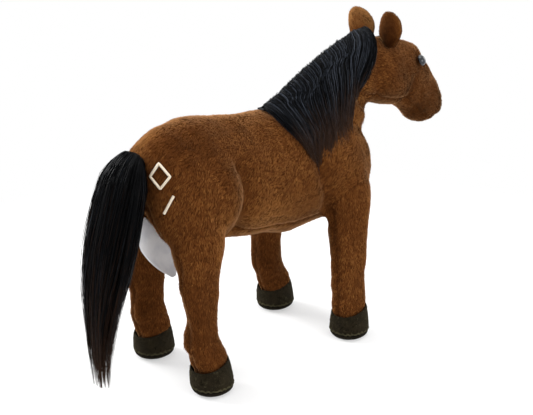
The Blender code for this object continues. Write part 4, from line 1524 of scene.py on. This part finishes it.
@dataclass
class Hoof:
    """A stuffed suede hoof: a seamed cover and a sole sewn in with a rolled edge."""

    corner: Corner
    nap: Pile = Pile(0.0027, 0.0008, 2.2, math.radians(16), 0.0026, 0.35, 0.5, 0.16, 0.22)
    roll: float = 0.0009
    roll_height: float = 0.0068
    pucker: float = 0.00035
    swell: float = 0.06
    seam_depth: float = 0.0007

    def build(self) -> list[bpy.types.Object]:
        """Makes the cover, the sole and the rolled edge between them."""
        name = self.corner.value
        body = f"leg_{name}"
        pieces = []
        for part, finish in (("hoof_cover", SUEDE), ("hoof_sole", SOLE)):
            node = f"{name}_{part}"
            mesh = rounded(node, node)
            low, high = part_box(node)
            points = place_of(mesh)
            middle = (low + high) / 2
            rear = ((middle.x, high.y, low.z), (middle.x, high.y, high.z))
            pressed = Crease(rear, self.seam_depth, 0.0016)
            points = pressed.pressed(points, normals_of(mesh))
            points[:, 2] = np.maximum(points[:, 2], 0.0)
            swell = 1 + self.swell * np.clip(1 - points[:, 2] / 0.030, 0, 1)
            points[:, :2] = middle[:2] + (points[:, :2] - middle[:2]) * swell[:, None]
            if part == "hoof_sole":
                points[:, 2] -= points[:, 2].min()
            move_to(mesh, points)
            mesh.shade_smooth()
            piece = finish.dress(new_piece(f"{node}_suede", mesh))
            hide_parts(node)
            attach(piece, body)
            pieces.append(piece)
        pieces.append(self.napped(pieces[0].data))
        pieces.append(self.rolled_edge(pieces[0].data))
        return pieces

    def napped(self, cover: bpy.types.Mesh) -> bpy.types.Object:
        """Raises the short nap of the cover as tufts.

        Args:
            cover: The finished cover of the hoof.

        Returns:
            The nap as a piece.
        """
        points = place_of(cover)
        tone = 0.45 + 0.16 * soft_noise(points, 0.006, 71)
        nap = np.where(points[:, 2] < self.roll_height + 0.001, 0.3, 1.0)
        give_values(cover, tone=tone, nap=nap)
        name = self.corner.value
        tufts = HOOF_NAP.dress(self.nap.plant(f"{name}_hoof_nap", cover, leg_comb, 501))
        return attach(tufts, f"leg_{name}")

    def rolled_edge(self, cover: bpy.types.Mesh) -> bpy.types.Object:
        """Lays the turned edge of the seam round the hoof, just above the sole.

        Args:
            cover: The finished cover of the hoof.

        Returns:
            The edge as a piece.
        """
        name = self.corner.value
        points = place_of(cover)
        top = points[np.abs(points[:, 2] - self.roll_height) < 0.0012]
        middle = (top.max(0) + top.min(0)) / 2
        angle = np.arctan2(top[:, 1] - middle[1], top[:, 0] - middle[0])
        away = np.linalg.norm(top[:, :2] - middle[:2], axis=1)
        ring = []
        for turn in np.linspace(-math.pi, math.pi, 96, endpoint=False):
            near = np.abs(np.angle(np.exp(1j * (angle - turn))))
            pucker = math.sin(turn * 23) + 0.6 * math.sin(turn * 31 + 1.0)
            far = away[np.argsort(near)[:6]].max() - self.roll * 0.45 + self.pucker * pucker
            spot = middle[0] + far * math.cos(turn), middle[1] + far * math.sin(turn)
            ring.append((*spot, self.roll_height + 2 * self.pucker * pucker))
        mesh = cord(f"{name}_rolled_edge", [ring], self.roll, True)
        piece = EDGE.dress(new_piece(f"{name}_rolled_edge", mesh))
        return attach(piece, f"leg_{name}")


# Hair


@dataclass
class Mane:
    """Long hair sewn to a tape on the crest and combed over the right of the neck."""

    strands: int = 9800
    rows: int = 11
    half_width: float = 0.00017
    locks: int = 46
    thickness: float = 0.0062
    lift: float = 0.0016
    root_out: float = 0.0015
    overshoot: float = 1.20
    crest_share: float = 0.34
    root_share: float = 0.06
    least_rise: float = 0.0008
    least_crest: float = 0.0035
    crest_puff: float = 0.0012
    far_away: float = 0.30
    over_all: float = 0.40
    tape_half: float = 0.0135

    # Lines of hair from the withers to the poll: each from the crest's top to its tip, (y, z)
    LINES = (
        ((0.0258, 0.2150), (0.0285, 0.2063), (0.0245, 0.1969), (0.0189, 0.1866), (0.0109, 0.1719)),
        ((0.0061, 0.2244), (0.0065, 0.2138), (0.0113, 0.2023), (0.0105, 0.1902), (0.0055, 0.1718)),
        ((-0.0172, 0.2384), (-0.0131, 0.2234), (-0.0082, 0.2093), (-0.0042, 0.1970), (-0.0017, 0.1783)),
        ((-0.0436, 0.2514), (-0.0375, 0.2351), (-0.0278, 0.2182), (-0.0232, 0.2010), (-0.0158, 0.1839)),
        ((-0.0697, 0.2622), (-0.0605, 0.2441), (-0.0480, 0.2272), (-0.0424, 0.2097), (-0.0361, 0.1912)),
        ((-0.0858, 0.2668), (-0.0744, 0.2518), (-0.0658, 0.2324), (-0.0556, 0.2163), (-0.0488, 0.1978)),
        ((-0.0985, 0.2668), (-0.0925, 0.2524), (-0.0848, 0.2388), (-0.0786, 0.2225), (-0.0634, 0.2064)),
    )
    SHARES = (0.0, 0.2, 0.4, 0.6, 0.8, 0.9, 1.0)

    def build(self, skin: bpy.types.Mesh) -> list[bpy.types.Object]:
        """Lays the strands over the neck, in two coats.

        Args:
            skin: The finished skin that they lie on.

        Returns:
            The hair.
        """
        bed = self.bed(skin)
        under = self.coat("mane_under_hair", bed, 31, self.strands, (0.0, 0.80))
        top = self.coat("mane_top_hair", bed, 32, self.strands * 2 // 5, (0.72, 1.12))
        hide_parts("mane_hair")
        TAPE.dress(frame["nodes"]["mane_tape"])
        return [under, top]

    def coat(
        self,
        name: str,
        bed: tuple[np.ndarray, np.ndarray, np.ndarray],
        seed: int,
        count: int,
        depth: tuple[float, float],
    ) -> bpy.types.Object:
        """Combs one coat of strands.

        Args:
            name: The new piece's name.
            bed: Places, normals and crest heights over the skin.
            seed: The number that fixes the strands.
            count: How many strands there are.
            depth: Where the coat lies, from 0 on the skin to 1 outermost.

        Returns:
            The hair as a piece.
        """
        places, outs, crest = bed
        rng = np.random.default_rng(seed)
        start = rng.random(count)
        layer = rng.uniform(*depth, count)
        which = np.minimum((start * self.locks).astype(int), self.locks - 1)
        nudge = np.random.default_rng(7).normal(0, 1, (4, self.locks))
        lock = (which + 0.5) / self.locks + nudge[0][which] * 0.008
        along = np.linspace(0, 1, self.rows) ** 1.35
        gather = (0.20 + 0.35 * rng.random((count, 1))) * along**1.6
        drift = rng.normal(0, 0.013, (count, 1)) * along**1.3
        wave = 0.0004 * np.sin(along * 6 + 6.3 * nudge[1][which][:, None]) * along
        across = start[:, None] * (1 - gather) + lock[:, None] * gather + drift + wave
        ends = np.clip(rng.normal(0.86, 0.14, count), 0.45, 1.12) * (1 + 0.05 * nudge[2][which])
        ends = ends * (1 - 0.20 * np.clip(1 - start / 0.22, 0, 1))
        down = along[None] * ends[:, None]
        spot, out, puff = self.looked_up(places, outs, crest, np.clip(across, 0, 1), down)
        body = self.lift + self.thickness * layer[:, None] * (0.55 + 0.45 * np.cos(down * 2.4))
        near = np.clip(1 - down / self.crest_share, 0, 1)
        near = near * near * (3 - 2 * near)
        roots = np.clip(down / self.root_share, 0, 1) ** 0.65
        within = np.abs((across * self.locks) % 1 - 0.5) * 2
        body = body * (1.10 - 0.45 * within**2 * np.clip(down * 3 - 0.6, 0, 1))
        rise = body * (1 - near) + puff * (0.50 + 0.50 * layer[:, None]) * near * roots
        rise = rise + 0.0003 * rng.normal(size=(count, 1)) + 0.0003 * soft_waves(rng, along, count)
        rise = np.maximum(rise * np.clip(1.30 - 0.75 * down**4, 0.2, 1), self.least_rise)
        rows = spot + out * rise[..., None]
        side, facing = rolled(rows, out, rng)
        taper = np.clip(1.15 - along**2.5, 0.18, 1)
        half = self.half_width * taper * rng.uniform(0.7, 1.35, (count, 1))
        glint = rng.random(count) ** 5
        half = half * (1 + 0.35 * glint[:, None])
        # deeper strands are coloured darker, painted shade inside the hair; the mane's base tone sits
        # above the tail's and glint strands are coloured light, both painted highlights
        tone = 0.30 + 0.06 * nudge[3][which] + 0.16 * (layer - 0.5)
        tone = tone + 0.80 * glint + rng.normal(0, 0.16, count)
        mesh = ribbons(name, rows, side, half, facing, np.clip(tone, 0.01, 0.99))
        hair = HAIR.dress(new_piece(name, mesh))
        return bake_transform(hair)

    def bed(self, skin: bpy.types.Mesh) -> tuple[np.ndarray, np.ndarray, np.ndarray]:
        """Finds where the lines of hair lie on the skin.

        Args:
            skin: The finished skin.

        Returns:
            A grid of places on the skin and their normals, by line and by step, and how far the
            crest's hair stands over each line's root.
        """
        tree = tree_of(skin)
        lines = np.array(self.LINES)
        lines = np.concatenate((lines, 2 * lines[:, -1:] - lines[:, -2:-1]), axis=1)
        fine = np.linspace(0, 1, 48)
        steps = np.linspace(0, self.overshoot, 26)
        cells = np.array((0.0, 0.25, 0.50, 0.75, 1.0, 1.25))
        guide = np.empty((len(fine), len(steps), 2))
        for axis in (0, 1):
            columns = [np.interp(fine, self.SHARES, lines[:, k, axis]) for k in range(len(cells))]
            for i, row in enumerate(np.array(columns).T):
                guide[i, :, axis] = np.interp(steps, cells, row)
        for _ in range(3):
            guide[1:-1] = (guide[:-2] + guide[1:-1] * 2 + guide[2:]) / 4
            guide[:, 1:-1] = (guide[:, :-2] + guide[:, 1:-1] * 2 + guide[:, 2:]) / 4
        places, outs = np.zeros((*guide.shape[:2], 3)), np.zeros((*guide.shape[:2], 3))
        crest = np.zeros(len(fine))
        aim = Vector((1, 0, 0))
        for i, line in enumerate(guide):
            top, _, _, _ = tree.ray_cast(Vector((0.0005, line[0, 0], self.over_all)), -UP)
            crest[i] = max(line[0, 1] - top.z, self.least_crest) + self.crest_puff
            for j, (y, z) in enumerate(line):
                share = steps[j] / 0.25
                if share < 1:
                    x = self.root_out - (self.root_out + self.tape_half) * share
                    y = line[0, 0] + (y - line[0, 0]) * share * (1.4 - 0.4 * share)
                    found, _, _, _ = tree.ray_cast(Vector((x, y, self.over_all)), -UP)
                    level = -0.9 * share * share + 0.25 * (1 - share)
                    normal = Vector((level, 0.35 * (1 - share), 1 - 0.35 * share))
                else:
                    found, normal, _, _ = tree.ray_cast(Vector((-self.far_away, y, z)), aim)
                    if found is None:
                        found, normal, _, _ = tree.find_nearest(Vector((-0.03, y, z)))
                places[i, j], outs[i, j] = found, normal.normalized()
        for _ in range(4):
            for grid in (places, outs):
                grid[1:-1] = (grid[:-2] + grid[1:-1] * 2 + grid[2:]) / 4
                grid[:, 1:-1] = (grid[:, :-2] + grid[:, 1:-1] * 2 + grid[:, 2:]) / 4
        return places, unit(outs), crest

    def looked_up(
        self,
        places: np.ndarray,
        outs: np.ndarray,
        crest: np.ndarray,
        across: np.ndarray,
        down: np.ndarray,
    ) -> tuple[np.ndarray, np.ndarray, np.ndarray]:
        """Reads the bed between its grid points.

        Args:
            places: The grid of places.
            outs: The grid of normals.
            crest: The hair's height over each line's root.
            across: Shares from the withers to the poll.
            down: Shares from the crest to the tip, up to the overshoot.

        Returns:
            Places, unit normals and the crest's heights.
        """
        i = across * (places.shape[0] - 1)
        j = np.clip(down / self.overshoot, 0, 1) * (places.shape[1] - 1)
        a = np.minimum(i.astype(int), places.shape[0] - 2)
        b = np.minimum(j.astype(int), places.shape[1] - 2)
        u, v = (i - a)[..., None], (j - b)[..., None]

        def mixed(grid: np.ndarray) -> np.ndarray:
            """Blends four neighbours of a grid."""
            near = grid[a, b] * (1 - v) + grid[a, b + 1] * v
            far = grid[a + 1, b] * (1 - v) + grid[a + 1, b + 1] * v
            return near * (1 - u) + far * u

        puff = crest[a] * (1 - u[..., 0]) + crest[a + 1] * u[..., 0]
        return mixed(places), unit(mixed(outs)), puff


@dataclass
class Tail:
    """A hank of long hair on a sewn dock, falling free to wispy ends."""

    strands: int = 6600
    rows: int = 14
    half_width: float = 0.00020
    locks: int = 42
    half_across: float = 0.0250
    half_deep: float = 0.0175
    over_floor: float = 0.002
    furthest_back: float = 0.2140

    # Middle of the hank (y, z) and its half width and half depth as shares, from the rump down
    ROWS = (
        (0.1560, 0.1958, 0.22, 0.28),
        (0.1600, 0.1955, 0.44, 0.42),
        (0.1655, 0.1892, 0.68, 0.60),
        (0.1710, 0.1790, 0.90, 0.74),
        (0.1775, 0.1600, 0.98, 0.80),
        (0.1845, 0.1340, 0.98, 0.90),
        (0.1895, 0.1130, 0.90, 0.88),
        (0.1940, 0.0940, 0.78, 0.80),
        (0.1975, 0.0720, 0.62, 0.64),
        (0.1995, 0.0520, 0.50, 0.52),
        (0.2000, 0.0330, 0.40, 0.42),
        (0.1995, 0.0160, 0.36, 0.38),
    )

    def build(self) -> list[bpy.types.Object]:
        """Lets the strands fall from the dock, and sews the cuff round their roots."""
        falls = self.falling("tail_hair_inner", 57, self.strands, (0.0, 0.92), 0.0)
        loose = self.falling("tail_hair_outer", 58, self.strands // 3, (0.80, 1.12), 1.0)
        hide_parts("tail_hair")
        return [falls, loose, self.cuff()]

    def falling(
        self, name: str, seed: int, count: int, depth: tuple[float, float], loose: float
    ) -> bpy.types.Object:
        """Lets one part of the hank fall.

        Args:
            name: The new piece's name.
            seed: The number that fixes the strands.
            count: How many strands there are.
            depth: Shares of the hank's radius where they lie.
            loose: How much they stray, from 0 to 1.

        Returns:
            The hair as a piece.
        """
        rng = np.random.default_rng(seed)
        line = np.array(self.ROWS)
        knots = np.linspace(0, 1, len(line))
        spots = np.random.default_rng(9).uniform(-1, 1, (self.locks * 2, 2))
        spots = spots[np.hypot(*spots.T) < 0.97][: self.locks]
        lengths = np.random.default_rng(10).normal(0, 0.05, len(spots))
        angle = rng.uniform(0, 2 * math.pi, count)
        low, high = depth
        radius = np.sqrt(rng.uniform(low * low, high * high, count))
        u, v = radius * np.cos(angle), radius * np.sin(angle)
        nearest = np.argmin(
            (u[:, None] - spots[:, 0]) ** 2 + (v[:, None] - spots[:, 1]) ** 2, axis=1
        )
        reach = rng.beta(3.2, 2.1, count) * 1.08 + lengths[nearest] + 0.02
        reach = np.clip(reach, 0.35, 1.0)
        steps = np.linspace(0, 1, self.rows)
        down = steps[None] * reach[:, None]
        y, z, wide, deep = (np.interp(down, knots, line[:, k]) for k in range(4))
        gather = 0.85 * np.clip(down - 0.25, 0, 1) ** 1.1
        u = u[:, None] * (1 - gather) + spots[nearest, 0][:, None] * gather
        v = v[:, None] * (1 - gather) + spots[nearest, 1][:, None] * gather
        stray = np.where(rng.random(count) < 0.16, 3.4, 1.2)[:, None] * (1 + loose)
        u = u + 0.035 * stray * soft_waves(rng, down, count)
        v = v + 0.035 * stray * soft_waves(rng, down, count)
        slope = np.gradient(line[:, 0]) / np.maximum(-np.gradient(line[:, 1]), 0.003)
        lean = np.arctan(np.clip(np.interp(down, knots, slope), 0, 3))
        forward = v * deep * self.half_deep
        rows = np.stack(
            (u * wide * self.half_across, y + forward * np.cos(lean), z + forward * np.sin(lean)),
            axis=-1,
        )
        rows[..., 2] = np.maximum(rows[..., 2], self.over_floor)
        rows[..., 1] = np.minimum(rows[..., 1], self.furthest_back)
        tangent = unit(np.gradient(rows, axis=1))
        centre = np.stack((np.zeros_like(y), y, z), axis=-1)
        out = unit(rows - centre + np.array((0, 1e-5, 0)))
        out = unit(out - tangent * (out * tangent).sum(-1, keepdims=True))
        side, facing = rolled(rows, out, rng)
        taper = np.clip(1.1 - steps**3, 0.15, 1)
        half = self.half_width * taper * rng.uniform(0.7, 1.35, (count, 1))
        shade = np.random.default_rng(12).normal(0, 0.07, len(spots))[nearest]
        glint = rng.random(count) ** 6
        half = half * (1 + 0.35 * glint[:, None])
        # the outer coat a little lighter, painted shade inside the hank; glint strands coloured light,
        # painted highlights
        tone = 0.12 + shade + 0.05 * loose + 0.70 * glint
        tone = np.clip(tone + rng.normal(0, 0.05, count), 0.01, 0.99)
        hair = HAIR.dress(new_piece(name, ribbons(name, rows, side, half, facing, tone)))
        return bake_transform(hair)

    def cuff(self) -> bpy.types.Object:
        """Makes the sewn cuff that the hair is glued into."""
        mesh = rounded("tail_dock", "tail_cuff")
        mesh.shade_smooth()
        piece = CUFF.dress(new_piece("tail_cuff", mesh))
        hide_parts("tail_dock")
        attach(piece, "tail_dock")
        return piece


# Label and mark


@dataclass
class CareLabel:
    """A blank satin label sewn into the seam between the buttocks, curling at its free edge."""

    width: float = 0.056
    length: float = 0.026
    bow: float = 0.0028
    corner: float = 0.013
    low_corner: float = 0.003
    thickness: float = 0.0003
    seam_slope: float = math.radians(48)
    curl: float = math.radians(12)

    def build(self) -> list[bpy.types.Object]:
        """Cuts the ribbon, rounds its corners and curls it along the frame's label."""
        pivot = np.array(pivot_of("care_label"))
        level, steep = math.cos(self.seam_slope), math.sin(self.seam_slope)
        along = np.array((0.0, level, steep))
        hang = np.array((0.0, steep, -level))
        across = np.array((-1.0, 0.0, 0.0))
        made = bmesh.new()
        bmesh.ops.create_grid(made, x_segments=24, y_segments=14, size=0.5)
        for vert in made.verts:
            u, v = vert.co.x, vert.co.y + 0.5
            reach = self.corner if u > 0 else self.low_corner
            corner = max(abs(u) * self.width - self.width / 2 + reach, 0)
            short = reach - math.sqrt(max(reach**2 - corner**2, 0))
            fall = v * (self.length - self.bow * (1 - math.cos(math.pi * u)) - short)
            turn = self.curl * (0.3 + 2.0 * u * u) + 0.18 * v * v
            place = pivot + along * (u * self.width)
            place = place + hang * (fall * math.cos(turn))
            place = place + across * (fall * math.sin(turn) + 0.0007 * math.sin(u * 7) * v)
            vert.co = Vector(place)
        mesh = to_mesh(made, "care_label_ribbon")
        mesh = with_modifier(mesh, "SOLIDIFY", thickness=self.thickness, offset=0.0)
        mesh.shade_smooth()
        piece = SATIN.dress(new_piece("care_label_ribbon", mesh))
        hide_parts("care_label")
        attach(piece, "care_label")
        return [piece]


@dataclass
class RumpMark:
    """A plain embroidered mark on the right of the rump: an open lozenge over a short bar."""

    thread: float = 0.00105
    rise: float = 0.0017
    middle: tuple[float, float, float] = (-0.0283, 0.1544, 0.1758)
    inward: tuple[float, float, float] = (0.70, -0.64, -0.33)

    # Strokes as seen from behind the rump's right: sideways and up from the middle
    STROKES = (
        ((-0.0015, 0.0010), (0.0058, 0.0098), (-0.0030, 0.0198), (-0.0092, 0.0105),
         (-0.0015, 0.0010)),
        ((0.0010, -0.0175), (0.0085, -0.0045)),
    )

    def build(self, skin: bpy.types.Mesh) -> list[bpy.types.Object]:
        """Lays each stroke over the pile.

        Args:
            skin: The finished skin that carries the mark.

        Returns:
            The mark, as one piece.
        """
        tree = tree_of(skin)
        inward = Vector(self.inward).normalized()
        sideways = inward.cross(UP).normalized()
        upright = sideways.cross(inward)
        lines = []
        for stroke in self.STROKES:
            places = []
            line = np.array(stroke)
            for share in np.linspace(0, len(line) - 1, 12 * (len(line) - 1) + 1):
                k = min(int(share), len(line) - 2)
                u, v = line[k] + (line[k + 1] - line[k]) * (share - k)
                start = Vector(self.middle) + sideways * u + upright * v - inward * 0.1
                found, normal, _, _ = tree.ray_cast(start, inward)
                places.append(found + normal * self.rise)
            lines.append(places)
        mesh = cord("rump_mark_stitching", lines, self.thread, False)
        piece = THREAD.dress(new_piece("rump_mark_stitching", mesh))
        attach(piece, "torso")
        return [piece]


# Studio


@dataclass
class Studio:
    """White paper, plain soft lamps and the camera at the photograph's place."""

    camera_place: tuple[float, float, float] = (-0.66459, 0.63297, 0.43461)
    camera_look: tuple[float, float, float] = (0.696, -0.640, -0.3256)
    lens: float = 74.3
    sky: float = 0.88

    # Name, place, size, power in watts
    LAMPS = (
        ("top_softbox", (0.05, 0.00, 1.40), 1.1, 8.0),
        ("left_softbox", (1.10, 0.50, 0.80), 0.8, 22.0),
        ("front_softbox", (-0.20, -1.25, 0.60), 0.8, 5.0),
        ("right_fill", (-1.20, -0.10, 0.50), 0.8, 6.0),
    )

    def build(self) -> None:
        """Sets the paper, the lamps, the sky and the camera."""
        made = bmesh.new()
        bmesh.ops.create_circle(made, cap_ends=True, segments=96, radius=6.0)
        mesh = to_mesh(made, "paper")
        paper = new_piece("paper", mesh)
        paper.data.materials.append(PAPER.material())
        for name, place, size, power in self.LAMPS:
            lamp = bpy.data.lights.new(name, "AREA")
            lamp.shape, lamp.size, lamp.energy = "DISK", size, power
            stand = new_piece(name, lamp)
            stand.location = place
            aim = Vector((0, 0, 0.13)) - Vector(place)
            stand.rotation_euler = aim.to_track_quat("-Z", "Y").to_euler()
        self.build_sky()
        self.build_camera()
        bpy.context.scene.view_settings.view_transform = "Standard"

    def build_sky(self) -> None:
        """Lights the scene evenly, and shows plain white behind it."""
        world = bpy.data.worlds.new("studio_sky")
        bpy.context.scene.world = world
        world.use_nodes = True
        tree = world.node_tree
        tree.nodes.clear()
        rays = add_node(tree, "ShaderNodeLightPath")
        mirrored = add_node(
            tree,
            "ShaderNodeMath",
            {"operation": "MAXIMUM"},
            links={0: rays.outputs["Is Glossy Ray"], 1: rays.outputs["Is Transmission Ray"]},
        )
        seen = add_node(
            tree,
            "ShaderNodeMath",
            {"operation": "MAXIMUM"},
            links={0: rays.outputs["Is Camera Ray"], 1: mirrored.outputs["Value"]},
        )
        soft = add_node(
            tree, "ShaderNodeBackground", values={"Color": (1, 1, 1, 1), "Strength": self.sky}
        )
        white = add_node(
            tree, "ShaderNodeBackground", values={"Color": (1, 1, 1, 1), "Strength": 1.0}
        )
        both = add_node(
            tree,
            "ShaderNodeMixShader",
            links={0: seen.outputs["Value"], 1: soft.outputs[0], 2: white.outputs[0]},
        )
        add_node(tree, "ShaderNodeOutputWorld", links={"Surface": both.outputs[0]})

    def build_camera(self) -> None:
        """Stands the camera behind the horse's right, as in the photograph."""
        look = Vector(self.camera_look).normalized()
        right = look.cross(UP).normalized()
        up = right.cross(look)
        data = bpy.data.cameras.new("camera")
        data.lens, data.sensor_width = self.lens, 36.0
        camera = new_piece("camera", data)
        turn = Matrix((right, up, -look)).transposed().to_4x4()
        camera.matrix_world = Matrix.Translation(self.camera_place) @ turn
        bpy.context.scene.camera = camera


def main() -> None:
    """Builds the pieces in order and reports each."""
    logging.basicConfig(level=logging.INFO, format="%(message)s")
    Studio().build()
    skin, pieces = StuffedSkin().build()
    for side in Side:
        # the right ear's low base tone is painted shade, the left ear's high one painted light
        pieces += Ear(side, 0.02 if side is Side.RIGHT else 0.46).build()
        pieces += Eye(side).build()
    for corner in Corner:
        pieces += Hoof(corner).build()
    pieces += Mane().build(skin)
    pieces += Tail().build()
    pieces += CareLabel().build()
    pieces += RumpMark().build(skin)
    for piece in pieces:
        log.info("%s: %d faces", piece.name, len(piece.data.polygons))


if __name__ == "__main__":
    main()
